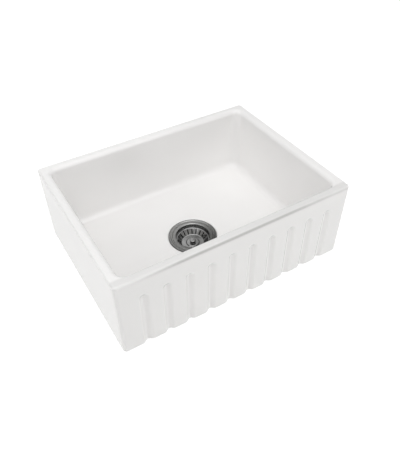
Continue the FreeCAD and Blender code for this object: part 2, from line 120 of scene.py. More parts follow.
# ---------------------------------------------------------------- finishes
@dataclass(frozen=True)
class FireclayGlaze:
    """Glazed fireclay, sprayed and fired once: an opaque glossy white over a slightly uneven
    body. To the eye it is soft white with long gentle ripples in its reflections and faint cloudy
    warmth. Its colour also carries painted shade: a soft band along the apron's top arris and a
    faint darkening of the rim's front run."""

    front: float  # the apron's y
    rim: float  # the rim's z
    colour: str = "#f7f6f5"
    cloud_colour: str = "#f4f3f2"
    # Colour of the painted shade over the apron's top arris and the rim's front run.
    painted_shade_colour: str = "#b0afad"
    roughness: float = 0.16
    ior: float = 1.5
    cloud_size: float = 90.0
    ripple_size: float = 38.0
    ripple_height: float = 0.05
    pit_size: float = 2.2
    pit_height: float = 0.006
    # Where the painted shade lies: a band over the apron's top arris, fading in from the left end and weaker
    # towards the right end, and a faint part over the rim's front run.
    arris_below: float = 3.3
    arris_reach: float = 9.0
    arris_behind: tuple[float, float] = (6.0, 9.0)
    arris_strength: float = 0.78
    arris_rise: tuple[float, float] = (-290.0, -110.0)
    arris_fade: tuple[float, float] = (90.0, 285.0)
    arris_end_strength: float = 0.5
    rim_strength: float = 0.26
    rim_behind: tuple[float, float] = (16.0, 24.0)
    rim_drop: float = 5.0

    def build(self) -> bpy.types.Material:
        """Build the material.

        Returns:
            The finished material.
        """
        material, tree = new_material("glazed_fireclay")
        place = add(tree, "TexCoord").outputs["Object"]
        clouds = add(
            tree, "TexNoise", {"Vector": place, "Scale": 1 / (self.cloud_size * MM), "Detail": 2.0}
        )
        body = add(
            tree,
            "Mix",
            {0: clouds.outputs["Fac"], 6: linear(self.colour), 7: linear(self.cloud_colour)},
            data_type="RGBA",
        )
        # The glaze colour with the painted shade mixed in.
        painted_shade_mix = add(
            tree,
            "Mix",
            {0: self.painted_shade_strength(tree, place), 6: body.outputs[2], 7: linear(self.painted_shade_colour)},
            data_type="RGBA",
        )
        ripples = add(
            tree, "TexNoise", {"Vector": place, "Scale": 1 / (self.ripple_size * MM), "Detail": 1.0}
        )
        pits = add(tree, "TexNoise", {"Vector": place, "Scale": 1 / (self.pit_size * MM)})
        long_bump = add(
            tree,
            "Bump",
            {"Height": ripples.outputs["Fac"], "Distance": self.ripple_height * MM, "Strength": 1.0},
        )
        bump = add(
            tree,
            "Bump",
            {
                "Height": pits.outputs["Fac"],
                "Distance": self.pit_height * MM,
                "Strength": 1.0,
                "Normal": long_bump.outputs["Normal"],
            },
        )
        shader = add(
            tree,
            "BsdfPrincipled",
            {
                "Base Color": painted_shade_mix.outputs[2],
                "Roughness": self.roughness,
                "IOR": self.ior,
                "Normal": bump.outputs["Normal"],
            },
        )
        close_material(tree, shader.outputs["BSDF"])
        return material

    def painted_shade_strength(self, tree: bpy.types.NodeTree, place: bpy.types.NodeSocket) -> bpy.types.NodeSocket:
        """Strength of the painted shade: the larger of two parts. One is a soft band over the
        apron's top arris, measured along the profile as distance behind the apron less distance
        under the rim; it fades in from the left end and is weaker again towards the right end.
        The other lies faintly over all of the rim's front run.

        Args:
            tree: the material's node tree.
            place: object coordinates.

        Returns:
            Socket with the strength, from 0 to 1.
        """
        axes = add(tree, "SeparateXYZ", {"Vector": place})
        across, back, up = (axes.outputs[name] for name in "XYZ")
        along = add(tree, "Math", {0: back, 1: up}, operation="ADD")
        middle = (self.front + self.rim - self.arris_below) * MM
        past = add(tree, "Math", {0: along.outputs[0], 1: middle}, operation="SUBTRACT")
        away = add(tree, "Math", {0: past.outputs[0]}, operation="ABSOLUTE").outputs[0]
        arris_end, rim_end = (
            [self.front + reach for reach in behind] for behind in (self.arris_behind, self.rim_behind)
        )
        band = [
            (away, (0.0, self.arris_reach), (self.arris_strength, 0.0)),
            (back, arris_end, (1.0, 0.0)),
            (across, self.arris_rise, (0.0, 1.0)),
            (across, self.arris_fade, (1.0, self.arris_end_strength)),
        ]
        # The painted shade's faint part over the rim's front run.
        run = [
            (back, rim_end, (self.rim_strength, 0.0)),
            (up, (self.rim - self.rim_drop, self.rim), (0.0, 1.0)),
        ]
        parts = [self.product(tree, steps) for steps in (band, run)]
        return add(tree, "Math", {0: parts[0], 1: parts[1]}, operation="MAXIMUM").outputs[0]

    def product(self, tree: bpy.types.NodeTree, steps: Sequence[tuple]) -> bpy.types.NodeSocket:
        """Product of soft steps.

        Args:
            tree: the material's node tree.
            steps: value, the two places it runs between in millimetres, and its strengths there.

        Returns:
            Socket with the product.
        """
        total = None
        for value, (start, end), (low, high) in steps:
            limits = {"From Min": start * MM, "From Max": end * MM, "To Min": low, "To Max": high}
            node = add(tree, "MapRange", {"Value": value, **limits}, interpolation_type="SMOOTHSTEP")
            part = node.outputs["Result"]
            if total is not None:
                part = add(tree, "Math", {0: total, 1: part}, operation="MULTIPLY").outputs[0]
            total = part
        return total


@dataclass(frozen=True)
class TurnedMetal:
    """Stainless steel or brass that was turned or polished on a spindle, so its fine marks run in
    rings round the drain's axis. The rings stretch each highlight and dull it a little. Painted
    light and shade make the metal lighter on one side of the axis and darker on the other."""

    name: str
    # colour is the painted light side and shade_colour the painted shade on the far side of the axis;
    # light_side gives, in degrees from +X, where the painted light faces.
    colour: str
    shade_colour: str
    roughness: float
    light_side: float = 105.0  # degrees from +X
    ring_pitch: float = 0.45  # real marks are 0.02 to 0.1 mm apart, too fine to show
    ring_height: float = 0.004
    smudge_size: float = 14.0
    smudge_range: tuple[float, float] = (0.3, 0.7)
    wear: float = 0.05

    def build(self) -> bpy.types.Material:
        """Build the material.

        Returns:
            The finished material.
        """
        material, tree = new_material(self.name)
        place = add(tree, "TexCoord").outputs["Object"]
        axes = add(tree, "SeparateXYZ", {"Vector": place})
        flat = add(tree, "CombineXYZ", {"X": axes.outputs["X"], "Y": axes.outputs["Y"]})
        radius = add(tree, "VectorMath", {0: flat.outputs[0]}, operation="LENGTH")
        # Rings: noise read along the radius and the height only.
        rings_at = add(tree, "CombineXYZ", {"X": radius.outputs["Value"], "Z": axes.outputs["Z"]})
        rings = add(
            tree,
            "TexNoise",
            {"Vector": rings_at.outputs[0], "Scale": 1 / (self.ring_pitch * MM), "Detail": 2.0},
        )
        # Painted light and shade: the colour runs from shade_colour on the side away from light_side to
        # colour on the side that faces it.
        heading = add(tree, "VectorMath", {0: flat.outputs[0]}, operation="NORMALIZE")
        side = math.radians(self.light_side)
        light = (math.cos(side), math.sin(side), 0.0)
        facing = add(tree, "VectorMath", {0: heading.outputs[0], 1: light}, operation="DOT_PRODUCT")
        share = add(tree, "MapRange", {"Value": facing.outputs["Value"], "From Min": -1.0})
        painted_light_and_shade = add(
            tree,
            "Mix",
            {0: share.outputs["Result"], 6: linear(self.shade_colour), 7: linear(self.colour)},
            data_type="RGBA",
        )
        smudges = add(
            tree, "TexNoise", {"Vector": place, "Scale": 1 / (self.smudge_size * MM), "Detail": 3.0}
        )
        roughness = add(
            tree,
            "MapRange",
            {
                "Value": smudges.outputs["Fac"],
                "From Min": self.smudge_range[0],
                "From Max": self.smudge_range[1],
                "To Min": self.roughness - self.wear,
                "To Max": self.roughness + self.wear,
            },
        )
        bump = add(
            tree,
            "Bump",
            {"Height": rings.outputs["Fac"], "Distance": self.ring_height * MM, "Strength": 1.0},
        )
        shader = add(
            tree,
            "BsdfPrincipled",
            {
                "Base Color": painted_light_and_shade.outputs[2],
                "Metallic": 1.0,
                "Roughness": roughness.outputs["Result"],
                "Normal": bump.outputs["Normal"],
            },
        )
        close_material(tree, shader.outputs["BSDF"])
        return material


@dataclass(frozen=True)
class MouldedPolymer:
    """A moulded plastic or rubber piece: an even colour with the fine spark-eroded grain of its
    mould, which breaks up its sheen."""

    name: str
    colour: str
    roughness: float
    grain: float = 0.5  # real grain is about 0.05 mm, too fine to show
    grain_height: float = 0.012
    flow_size: float = 22.0
    flow_change: float = 0.06

    def build(self) -> bpy.types.Material:
        """Build the material.

        Returns:
            The finished material.
        """
        material, tree = new_material(self.name)
        place = add(tree, "TexCoord").outputs["Object"]
        grain = add(tree, "TexNoise", {"Vector": place, "Scale": 1 / (self.grain * MM), "Detail": 2.0})
        flow = add(tree, "TexNoise", {"Vector": place, "Scale": 1 / (self.flow_size * MM)})
        roughness = add(
            tree,
            "MapRange",
            {
                "Value": flow.outputs["Fac"],
                "To Min": self.roughness - self.flow_change,
                "To Max": self.roughness + self.flow_change,
            },
        )
        bump = add(
            tree,
            "Bump",
            {"Height": grain.outputs["Fac"], "Distance": self.grain_height * MM, "Strength": 1.0},
        )
        shader = add(
            tree,
            "BsdfPrincipled",
            {
                "Base Color": linear(self.colour),
                "Roughness": roughness.outputs["Result"],
                "Normal": bump.outputs["Normal"],
            },
        )
        close_material(tree, shader.outputs["BSDF"])
        return material


# ---------------------------------------------------------------- mesh helpers
def grid_quads(rows: int, columns: int, close_rows: bool, close_columns: bool) -> np.ndarray:
    """Corner numbers of the quads of a grid of points.

    Args:
        rows: number of rows.
        columns: points in each row.
        close_rows: whether the last row joins the first.
        close_columns: whether each row's last point joins its first.

    Returns:
        Array of four corner numbers for each quad, row by row.
    """
    row = np.arange(rows if close_rows else rows - 1)
    column = np.arange(columns if close_columns else columns - 1)
    row, column = np.meshgrid(row, column, indexing="ij")
    next_row = (row + 1) % rows
    next_column = (column + 1) % columns
    corners = [
        row * columns + column,
        row * columns + next_column,
        next_row * columns + next_column,
        next_row * columns + column,
    ]
    return np.stack(corners, axis=-1).reshape(-1, 4)


def make_piece(
    name: str,
    points: np.ndarray,
    quads: np.ndarray,
    material: bpy.types.Material,
    caps: Sequence[Sequence[int]] = (),
    sharp_degrees: float = 38.0,
) -> bpy.types.Object:
    """Put a computed surface into a mesh object: unused points go, points that coincide at poles
    are merged, faces turn outwards, and shading is smooth except at sharp edges.

    Args:
        name: the piece's name.
        points: points in millimetres, in the frame.
        quads: corner numbers of its faces.
        material: its finish.
        caps: faces with more corners, as lists of corner numbers.
        sharp_degrees: edges that turn by more than this stay crisp.

    Returns:
        The new object, at the origin.
    """
    used, places = np.unique(quads, return_inverse=True)
    new_number = {int(old): new for new, old in enumerate(used)}
    faces = places.reshape(quads.shape).tolist()
    faces += [[new_number[corner] for corner in cap] for cap in caps]
    mesh = bpy.data.meshes.new(name)
    mesh.from_pydata((points[used] * MM).tolist(), [], faces)
    work = bmesh.new()
    work.from_mesh(mesh)
    bmesh.ops.remove_doubles(work, verts=work.verts, dist=MERGE_DISTANCE)
    bmesh.ops.recalc_face_normals(work, faces=work.faces)
    work.to_mesh(mesh)
    work.free()
    mesh.materials.append(material)
    mesh.polygons.foreach_set("use_smooth", np.ones(len(mesh.polygons), dtype=bool))
    mesh.set_sharp_from_angle(angle=math.radians(sharp_degrees))
    piece = bpy.data.objects.new(name, mesh)
    bpy.context.scene.collection.objects.link(piece)
    return piece


def stand_for(piece: bpy.types.Object, node: str, body: Body) -> None:
    """Let a piece stand for a CAD node and ride on its body; the CAD node is hidden.

    Args:
        piece: the finished piece.
        node: the CAD node that it replaces.
        body: the body that it rides on.
    """
    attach(piece, body.value)
    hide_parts(node)
    LOG.info("%s: %d faces on %s", piece.name, len(piece.data.polygons), body.value)


def softened(corners: Sequence[Sequence[float]], closed: bool = False, steps: int = 5) -> np.ndarray:
    """Round the corners of an outline. Each corner gives way to a tangent arc of its bend radius:
    the arc's ends lie radius / tan(half the corner's angle) from the corner.

    Args:
        corners: radius, height and bend radius of each corner, with a bend of 0 for a sharp one.
        closed: whether the last corner joins the first.
        steps: chords of each arc.

    Returns:
        Points of the rounded outline.
    """
    table = np.array(corners, dtype=float)
    path = table[:, :2]
    out = []
    for index, (here, bend) in enumerate(zip(path, table[:, 2])):
        at_end = not closed and index in (0, len(path) - 1)
        if bend <= 0 or at_end:
            out.append(here[None])
            continue
        back = path[index - 1] - here
        ahead = path[(index + 1) % len(path)] - here
        back /= np.linalg.norm(back)
        ahead /= np.linalg.norm(ahead)
        half = math.acos(float(np.clip(back @ ahead, -1, 1))) / 2
        middle = (back + ahead) / np.linalg.norm(back + ahead)
        centre = here + middle * bend / math.sin(half)
        start = here + back * bend / math.tan(half) - centre
        end = here + ahead * bend / math.tan(half) - centre
        sweep = math.pi - 2 * half
        along = np.linspace(0, sweep, steps + 1)[:, None]
        out.append(centre + (np.sin(sweep - along) * start + np.sin(along) * end) / math.sin(sweep))
    return np.concatenate(out)


def flat_ring(inner: float, outer: float, foot: float, top: float, bend: float) -> np.ndarray:
    """Closed outline of a flat ring between two radii and two heights, with rounded corners."""
    corners = [(inner, foot), (outer, foot), (outer, top), (inner, top)]
    return softened([(*corner, bend) for corner in corners], closed=True)


def quarter(steps: int) -> np.ndarray:
    """Angles of a quarter circle in even steps, without its start."""
    return np.linspace(0, math.pi / 2, steps + 1)[1:]


def mitres(path: np.ndarray) -> np.ndarray:
    """Shift of each point of a path that moves all its runs by one to their left: the sum of the
    normals of the runs before and after it, over one plus their dot product.

    Args:
        path: points of the path.

    Returns:
        One shift for each point.
    """
    run = np.diff(path, axis=0)
    run /= np.linalg.norm(run, axis=1)[:, None]
    normal = np.stack([-run[:, 1], run[:, 0]], axis=1)
    before = np.vstack([normal[:1], normal])
    after = np.vstack([normal, normal[-1:]])
    return (before + after) / (1 + np.einsum("ij,ij->i", before, after))[:, None]


def ring_of(radius: np.ndarray, angles: np.ndarray, height: float) -> np.ndarray:
    """Ring of points (r cos a, r sin a, z) with one radius for each angle."""
    return np.column_stack([radius * np.cos(angles), radius * np.sin(angles), np.full(len(angles), height)])


def revolve(outline: np.ndarray, angles: np.ndarray) -> np.ndarray:
    """Grid of points (r cos a, r sin a, z) from an outline and the angles of each of its rows.

    Args:
        outline: radius and height of each row.
        angles: angles of each row's columns.

    Returns:
        Rows by columns by three coordinates.
    """
    radius = outline[:, :1]
    height = np.broadcast_to(outline[:, 1:2], angles.shape)
    return np.stack([radius * np.cos(angles), radius * np.sin(angles), height], axis=-1)


def turned(outline: np.ndarray, columns: int) -> tuple[np.ndarray, np.ndarray]:
    """Turn a closed outline, or one that ends on the axis, about the drain's axis.

    Args:
        outline: radius and height of its points.
        columns: steps round the axis.

    Returns:
        Points and quads.
    """
    angles = np.tile(np.arange(columns) * TURN / columns, (len(outline), 1))
    on_axis = bool(outline[0, 0] == 0 and outline[-1, 0] == 0)
    return revolve(outline, angles).reshape(-1, 3), grid_quads(len(outline), columns, not on_axis, True)


def split_ring(outline: np.ndarray, gap: float, columns: int) -> tuple[np.ndarray, np.ndarray, list]:
    """Turn a closed outline almost all the way round, open towards the back by a gap with
    parallel sides: each point's end angles are asin(half the gap / r) from the back.

    Args:
        outline: radius and height of its points.
        gap: width of the opening.
        columns: points round the axis.

    Returns:
        Points, quads, and the two faces that close its ends.
    """
    short = np.arcsin(gap / 2 / outline[:, :1])
    share = np.linspace(0, 1, columns)[None, :]
    angles = TURN / 4 + short + (TURN - 2 * short) * share
    first = [row * columns for row in range(len(outline))]
    last = [row * columns + columns - 1 for row in range(len(outline))]
    quads = grid_quads(len(outline), columns, True, False)
    return revolve(outline, angles).reshape(-1, 3), quads, [first, last[::-1]]


def strip_angles(
    radius: np.ndarray, half_width: np.ndarray, count: int, first: float, inside: int, outside: int
) -> np.ndarray:
    """Angles of columns that follow strips with parallel sides. A strip's sides lie at
    asin(half width / r) on either side of its middle ray; the columns are spread evenly between
    its sides, and evenly again from there to the next strip.

    Args:
        radius: radius of each row.
        half_width: half of a strip's width on each row.
        count: number of strips round the axis.
        first: angle of the first strip's middle.
        inside: steps across a strip.
        outside: steps between two strips.

    Returns:
        Angles, rows by columns. Each strip's columns come first, then those up to the next.
    """
    side = np.arcsin(half_width / radius)[:, None]
    pitch = TURN / count
    across = side * (np.arange(inside) * 2 / inside - 1)
    between = side + (pitch - 2 * side) * np.arange(outside) / outside
    cell = np.concatenate([across, between], axis=1)
    starts = first + np.arange(count) * pitch
    return (cell[:, None, :] + starts[None, :, None]).reshape(len(radius), -1)


def turned_sheet(
    path: np.ndarray, sheet: float, angles: np.ndarray, kept: np.ndarray
) -> tuple[np.ndarray, np.ndarray]:
    """A pressed sheet, turned about the drain's axis: one skin half a sheet out from the middle
    line, one half a sheet in, and a wall along every edge of what is left open.

    Args:
        path: middle line of the sheet, as radius and height.
        sheet: its thickness.
        angles: angles of each row's columns.
        kept: which quads of the middle surface are there, rows by columns.

    Returns:
        Points and quads.
    """
    shift = mitres(path) * sheet / 2
    skins = [revolve(side, angles).reshape(-1, 3) for side in (path + shift, path - shift)]
    quads = grid_quads(len(path), angles.shape[1], False, True)[kept.ravel()]
    count = len(skins[0])
    edges = np.stack([quads, np.roll(quads, -1, axis=1)], axis=-1).reshape(-1, 2)
    alone = ~np.isin(edges[:, 0] * count + edges[:, 1], edges[:, 1] * count + edges[:, 0])
    start, end = edges[alone].T
    walls = np.stack([end, start, start + count, end + count], axis=1)
    return np.concatenate(skins), np.concatenate([quads, quads[:, ::-1] + count, walls])


def cut_thread(
    grid: np.ndarray, radius: float, span: tuple[float, float], pitch: float, depth: float
) -> np.ndarray:
    """Cut a right-hand thread into the rows of a grid that lie on a cylinder. The cut's depth is
    a soft V, (1 - cos) / 2 of the turn that z / pitch - angle / full turn gives, and it runs out
    within half a pitch of each end.

    Args:
        grid: rows of points round the axis.
        radius: the cylinder's radius.
        span: lowest and highest z of the thread.
        pitch: rise in one turn.
        depth: depth of the cut.

    Returns:
        The grid with its thread.
    """
    reach = np.hypot(grid[..., 0], grid[..., 1])
    height = grid[..., 2]
    turn = height / pitch - np.arctan2(grid[..., 1], grid[..., 0]) / TURN
    runout = np.clip(np.minimum(height - span[0], span[1] - height) / (pitch / 2), 0, 1)
    on_cylinder = np.abs(reach - radius) < MERGE_DISTANCE / MM
    cut = np.where(on_cylinder, depth * runout * (1 - np.cos(TURN * turn)) / 2, 0)
    scale = np.where(on_cylinder, (reach - cut) / np.maximum(reach, 1), 1)
    threaded = grid.copy()
    threaded[..., :2] *= scale[..., None]
    return threaded


def hexagon_radius(angles: np.ndarray, across: float) -> np.ndarray:
    """Radius of a hexagon, half its width across flats over the cosine of the angle from the
    middle of the nearest flat."""
    return across / 2 / np.cos(np.mod(angles, TURN / 6) - TURN / 12)


def radial_plates(
    outline: Sequence[tuple[float, float]], width: float, count: int, first: float
) -> tuple[np.ndarray, np.ndarray]:
    """Flat plates that stand radially: a four-cornered outline in the plane through the axis,
    moved half the width to each side, and repeated round the axis.

    Args:
        outline: four corners, as radius and height.
        width: thickness of a plate.
        count: number of plates.
        first: place of the first, in steps between plates.

    Returns:
        Points and quads.
    """
    flat = np.array(outline)
    sides = [np.column_stack([flat[:, 0], np.full(4, y), flat[:, 1]]) for y in (-width / 2, width / 2)]
    plate = np.concatenate(sides)
    quads = np.array([(0, 1, 2, 3), (7, 6, 5, 4), (0, 4, 5, 1), (1, 5, 6, 2), (2, 6, 7, 3), (3, 7, 4, 0)])
    turn = (np.arange(count) + first) * TURN / count
    cosine, sine = np.cos(turn)[:, None], np.sin(turn)[:, None]
    x = cosine * plate[:, 0] - sine * plate[:, 1]
    y = sine * plate[:, 0] + cosine * plate[:, 1]
    z = np.broadcast_to(plate[:, 2], x.shape)
    steps = np.arange(count)[:, None, None] * len(plate)
    return np.stack([x, y, z], axis=-1).reshape(-1, 3), (quads[None] + steps).reshape(-1, 4)


def joined(shapes: Sequence[tuple[np.ndarray, np.ndarray]]) -> tuple[np.ndarray, np.ndarray]:
    """Put several shapes into one pair of arrays: each shape's quads count on from the points of
    the shapes before it.

    Args:
        shapes: points and quads of each.

    Returns:
        All points and all quads.
    """
    starts = np.cumsum([0] + [len(points) for points, _ in shapes[:-1]])
    quads = [shape[1] + start for shape, start in zip(shapes, starts)]
    return np.concatenate([points for points, _ in shapes]), np.concatenate(quads)


# ---------------------------------------------------------------- the bowl
@dataclass
class FlutedBowl:
    """The fireclay bowl. Its skin is one grid that is closed both ways: each row is a ring round
    the bowl, and the rows follow the wall's section from the drain hole over floor, inner wall,
    rim and apron to the underside and back up the hole."""

    width: float = 600.0
    depth: float = 450.0
    front: float = -218.0
    underside: float = 70.0
    rim: float = 282.0
    wall_at_rim: float = 24.0
    wall_at_floor: float = 27.0
    floor: float = 98.0
    floor_fall: float = 3.0
    fall_radius: float = 160.0
    outer_corner: float = 9.0
    rim_outer_radius: float = 5.0
    rim_inner_radius: float = 12.0
    base_radius: float = 8.0
    base_inset: float = 24.0
    corner_at_rim: float = 18.0
    corner_at_floor: float = 34.0
    cove: float = 18.0
    flute_count: int = 10
    flute_pitch: float = 53.4
    flute_reach: float = 14.0
    flute_depth: float = 6.6
    flute_head_drop: float = 61.5
    flute_margin: float = 12.0
    head_above: float = 2.0
    head_below: float = 3.0
    hole_radius: float = 45.0
    rebate_radius: float = 64.5
    rebate_depth: float = 2.5
    rebate_edge: float = 1.2
    gasket_seat_radius: float = 58.0
    gasket_seat_depth: float = 2.0
    support: float = 0.7  # distance of the rows and columns that hold a flat beside a curve
    seat_support: float = 0.5  # the same at the foot of a rebate
    hole_support: float = 0.6  # the same in the drain hole
    hole_rows: int = 4
    side_support: float = 0.0035  # the same at the ends of a plain side, as a share of its half
    side_columns: int = 17
    corner_columns: int = 12
    flute_columns: int = 12
    curve_rows: int = 12
    edge_rows: int = 4
    end_shares: tuple[float, ...] = (0.3, 0.65)
    floor_shares: tuple[float, ...] = (0.15, 0.35, 0.55, 0.75, 0.9, 0.985, 1.0)
    wall_shares: tuple[float, ...] = (0.008, 0.1, 0.25, 0.4, 0.55, 0.7, 0.85, 0.95, 0.992, 1.0)
    rim_shares: tuple[float, ...] = (0.06, 0.35, 0.65, 0.94, 1.0)
    apron_drops: tuple[float, ...] = (0.7, 4.0, 9.0, 18.0)

    @property
    def middle_y(self) -> float:
        """Y of the middle of the bowl."""
        return self.front + self.depth / 2

    def groove_depth(self, distance: np.ndarray) -> np.ndarray:
        """Depth of a flute below the apron at a distance from its axis line: one wave of a
        cosine, so groove and lips run into each other without an edge.

        Args:
            distance: distance from the axis line, or from the head's middle above it.

        Returns:
            Depth at each distance.
        """
        share = np.clip(distance / self.flute_reach, 0, 1)
        return self.flute_depth * (1 + np.cos(math.pi * share)) / 2

    def flute_middles(self) -> np.ndarray:
        """X of each flute's axis."""
        return (np.arange(self.flute_count) - (self.flute_count - 1) / 2) * self.flute_pitch

    def front_columns(self) -> np.ndarray:
        """Columns along the apron, close together where the flutes curve.

        Returns:
            X of each column, from left to right.
        """
        half = np.linspace(0, self.flute_reach, self.flute_columns + 1)
        half = np.append(half, self.flute_reach + self.support)
        offsets = np.concatenate([-half[:0:-1], half])
        flutes = (self.flute_middles()[:, None] + offsets).ravel()
        stiles = self.flute_middles()[:-1] + self.flute_pitch / 2
        end = self.width / 2 - self.outer_corner
        last = flutes[-1]
        tail = np.append(last + (end - last) * np.array(self.end_shares), [end - self.support, end])
        return np.sort(np.concatenate([flutes, stiles, tail, -tail]))

    def columns(self) -> tuple[np.ndarray, np.ndarray]:
        """Where each column stands on a rounded rectangle, anticlockwise from the left end of
        the apron. A point of any ring is side * (half size - corner radius) + normal * corner
        radius.

        Returns:
            Side places and unit normals, each with two values for each column.
        """
        straight_x = self.front_columns() / (self.width / 2 - self.outer_corner)
        hold = 1 - self.side_support
        plain = np.sort(np.append(np.linspace(-1, 1, self.side_columns), [-hold, hold]))
        turn = quarter(self.corner_columns)[:-1]
        sides = []
        normals = []
        for side, along in enumerate((straight_x, plain, plain, plain)):
            heading = side * math.pi / 2
            ahead = np.array([math.cos(heading), math.sin(heading)])
            outwards = np.array([math.sin(heading), -math.cos(heading)])
            sides.append(along[:, None] * ahead + outwards)
            normals.append(np.repeat(outwards[None], len(along), 0))
            sides.append(np.repeat((ahead + outwards)[None], len(turn), 0))
            normals.append(np.cos(turn)[:, None] * outwards + np.sin(turn)[:, None] * ahead)
        return np.concatenate(sides), np.concatenate(normals)

    def ring(self, inset: float, corner: float, height: float) -> np.ndarray:
        """Rounded rectangle round the bowl.

        Args:
            inset: distance inwards from the bowl's outside.
            corner: corner radius.
            height: its z.

        Returns:
            One point for each column.
        """
        side, normal = self.columns()
        half = np.array([self.width / 2 - inset - corner, self.depth / 2 - inset - corner])
        flat = side * half + normal * corner + np.array([0, self.middle_y])
        return np.column_stack([flat, np.full(len(flat), height)])

    def circle(self, radius: float, height: float) -> np.ndarray:
        """Circle round the drain, with each point on the ray towards its column.

        Args:
            radius: the circle's radius.
            height: its z.

        Returns:
            One point for each column.
        """
        rays = self.ring(self.wall_at_floor + self.cove, self.corner_at_floor - self.cove, 0)[:, :2]
        rays /= np.linalg.norm(rays, axis=1)[:, None]
        return np.column_stack([rays * radius, np.full(len(rays), height)])

    def inner_corner(self, height: float) -> tuple[float, float]:
        """The inner wall at a height: its inset and corner radius both run straight from floor
        to rim.

        Args:
            height: its z.

        Returns:
            Inset from the bowl's outside, and corner radius.
        """
        share = (self.rim - height) / (self.rim - self.floor)
        inset = self.wall_at_rim + (self.wall_at_floor - self.wall_at_rim) * share
        return inset, self.corner_at_rim + (self.corner_at_floor - self.corner_at_rim) * share

    def drain_rows(self) -> list[np.ndarray]:
        """Rings up the hole, out over the flange's seat and up its rebate.

        Returns:
            The rings, in order.
        """
        low = self.floor - self.floor_fall
        seat = low - self.rebate_depth
        start = self.underside + self.gasket_seat_depth + self.hole_support
        heights = np.linspace(start, seat - self.hole_support, self.hole_rows)
        rows = [self.circle(self.hole_radius, height) for height in heights]
        rows.append(self.circle(self.hole_radius, seat))
        rows.append(self.circle(self.rebate_radius - self.seat_support, seat))
        rows.append(self.circle(self.rebate_radius, seat))
        for step in (0.0, *quarter(self.edge_rows)):
            radius = self.rebate_radius + self.rebate_edge * (1 - math.cos(step))
            rows.append(self.circle(radius, low - self.rebate_edge * (1 - math.sin(step))))
        return rows

    def floor_rows(self) -> list[np.ndarray]:
        """Rings across the floor: circles down the shallow fall, whose height eases with the
        cosine of the distance, then blends of the last circle with the foot of the cove.

        Returns:
            The rings, in order.
        """
        start = self.rebate_radius + self.rebate_edge
        low = self.floor - self.floor_fall
        rows = []
        for share in np.linspace(0, 1, self.curve_rows)[1:]:
            radius = start + (self.fall_radius - start) * share
            rows.append(self.circle(radius, low + self.floor_fall * (1 - math.cos(math.pi * share)) / 2))
        fall_edge = rows[-1]
        foot = self.ring(self.wall_at_floor + self.cove, self.corner_at_floor - self.cove, self.floor)
        return rows + [fall_edge * (1 - share) + foot * share for share in self.floor_shares]

    def wall_rows(self) -> list[np.ndarray]:
        """Rings up the cove, up the leaning wall, over the inner bullnose, across the flat rim
        and over its outer edge. Each curve is a quarter circle in the wall's section.

        Returns:
            The rings, in order.
        """
        rows = []
        for step in quarter(self.curve_rows):
            height = self.floor + self.cove * (1 - math.cos(step))
            inset, corner = self.inner_corner(height)
            shift = self.cove * (1 - math.sin(step))
            rows.append(self.ring(inset + shift, corner - shift, height))
        top = self.rim - self.rim_inner_radius
        bottom = self.floor + self.cove
        for share in self.wall_shares:
            height = bottom + (top - bottom) * share
            rows.append(self.ring(*self.inner_corner(height), height))
        inset, corner = self.inner_corner(top)
        for step in quarter(self.curve_rows):
            shift = self.rim_inner_radius * (1 - math.cos(step))
            height = top + self.rim_inner_radius * math.sin(step)
            rows.append(self.ring(inset - shift, corner + shift, height))
        edge = self.rim_outer_radius
        inner = rows[-1]
        outer = self.ring(edge, self.outer_corner - edge, self.rim)
        rows += [inner * (1 - share) + outer * share for share in self.rim_shares]
        for step in quarter(2 * self.edge_rows):
            shift = edge * (1 - math.sin(step))
            height = self.rim - edge * (1 - math.cos(step))
            rows.append(self.ring(shift, self.outer_corner - shift, height))
        return rows

    def apron_ring(self, height: float) -> np.ndarray:
        """Ring round the outside at a height, with the flutes pressed into the apron. The depth
        depends on the distance from the flute's axis, and above its head's middle from that
        middle.

        Args:
            height: its z.

        Returns:
            One point for each column.
        """
        ring = self.ring(0, self.outer_corner, height)
        above = max(height - (self.rim - self.flute_head_drop), 0)
        across = np.abs(ring[:, :1] - self.flute_middles()).min(axis=1)
        faces_front = np.isclose(self.columns()[1][:, 1], -1)
        on_apron = faces_front & (np.abs(ring[:, 0]) < self.width / 2 - self.flute_margin)
        ring[:, 1] += np.where(on_apron, self.groove_depth(np.hypot(across, above)), 0)
        return ring

    def outer_rows(self) -> list[np.ndarray]:
        """Rings down the outside, closer together round the flutes' heads.

        Returns:
            The rings, in order.
        """
        head = self.rim - self.flute_head_drop
        top = self.rim - self.rim_outer_radius
        foot = self.underside + self.base_radius
        heights = np.concatenate(
            [
                top - np.array(self.apron_drops),
                np.linspace(head + self.flute_reach + self.head_above, head, 2 * self.curve_rows),
                np.linspace(head - self.head_below, foot + self.support, self.curve_rows),
                [foot],
            ]
        )
        return [self.apron_ring(h) for h in heights]

    def base_rows(self) -> list[np.ndarray]:
        """Rings round the soft base edge, which follows the flutes: each point moves straight
        inwards from the bowl's side by the quarter circle's shift. Then rings across the flat
        underside to the gasket's seat.

        Returns:
            The rings, in order.
        """
        outline = self.apron_ring(self.underside + self.base_radius)
        outwards = np.column_stack([self.columns()[1], np.zeros(len(outline))])
        rows = []
        for step in quarter(self.curve_rows // 2):
            row = outline - outwards * self.base_radius * (1 - math.cos(step))
            row[:, 2] = self.underside + self.base_radius * (1 - math.sin(step))
            rows.append(row)
        inner = self.ring(self.base_inset, self.outer_corner, self.underside)
        rows += [(rows[-1] + inner) / 2, inner]
        edge = self.gasket_seat_radius + self.rebate_edge
        seat = self.circle(edge + self.support, self.underside)
        rows += [inner * (1 - share) + seat * share for share in np.linspace(0, 1, self.edge_rows + 1)[1:]]
        for step in (0.0, *quarter(self.edge_rows)):
            height = self.underside + self.rebate_edge * (1 - math.cos(step))
            rows.append(self.circle(edge - self.rebate_edge * math.sin(step), height))
        ceiling = self.underside + self.gasket_seat_depth
        seat_side = self.gasket_seat_radius
        radii = (seat_side, seat_side - self.seat_support, self.hole_radius)
        return rows + [self.circle(radius, ceiling) for radius in radii]

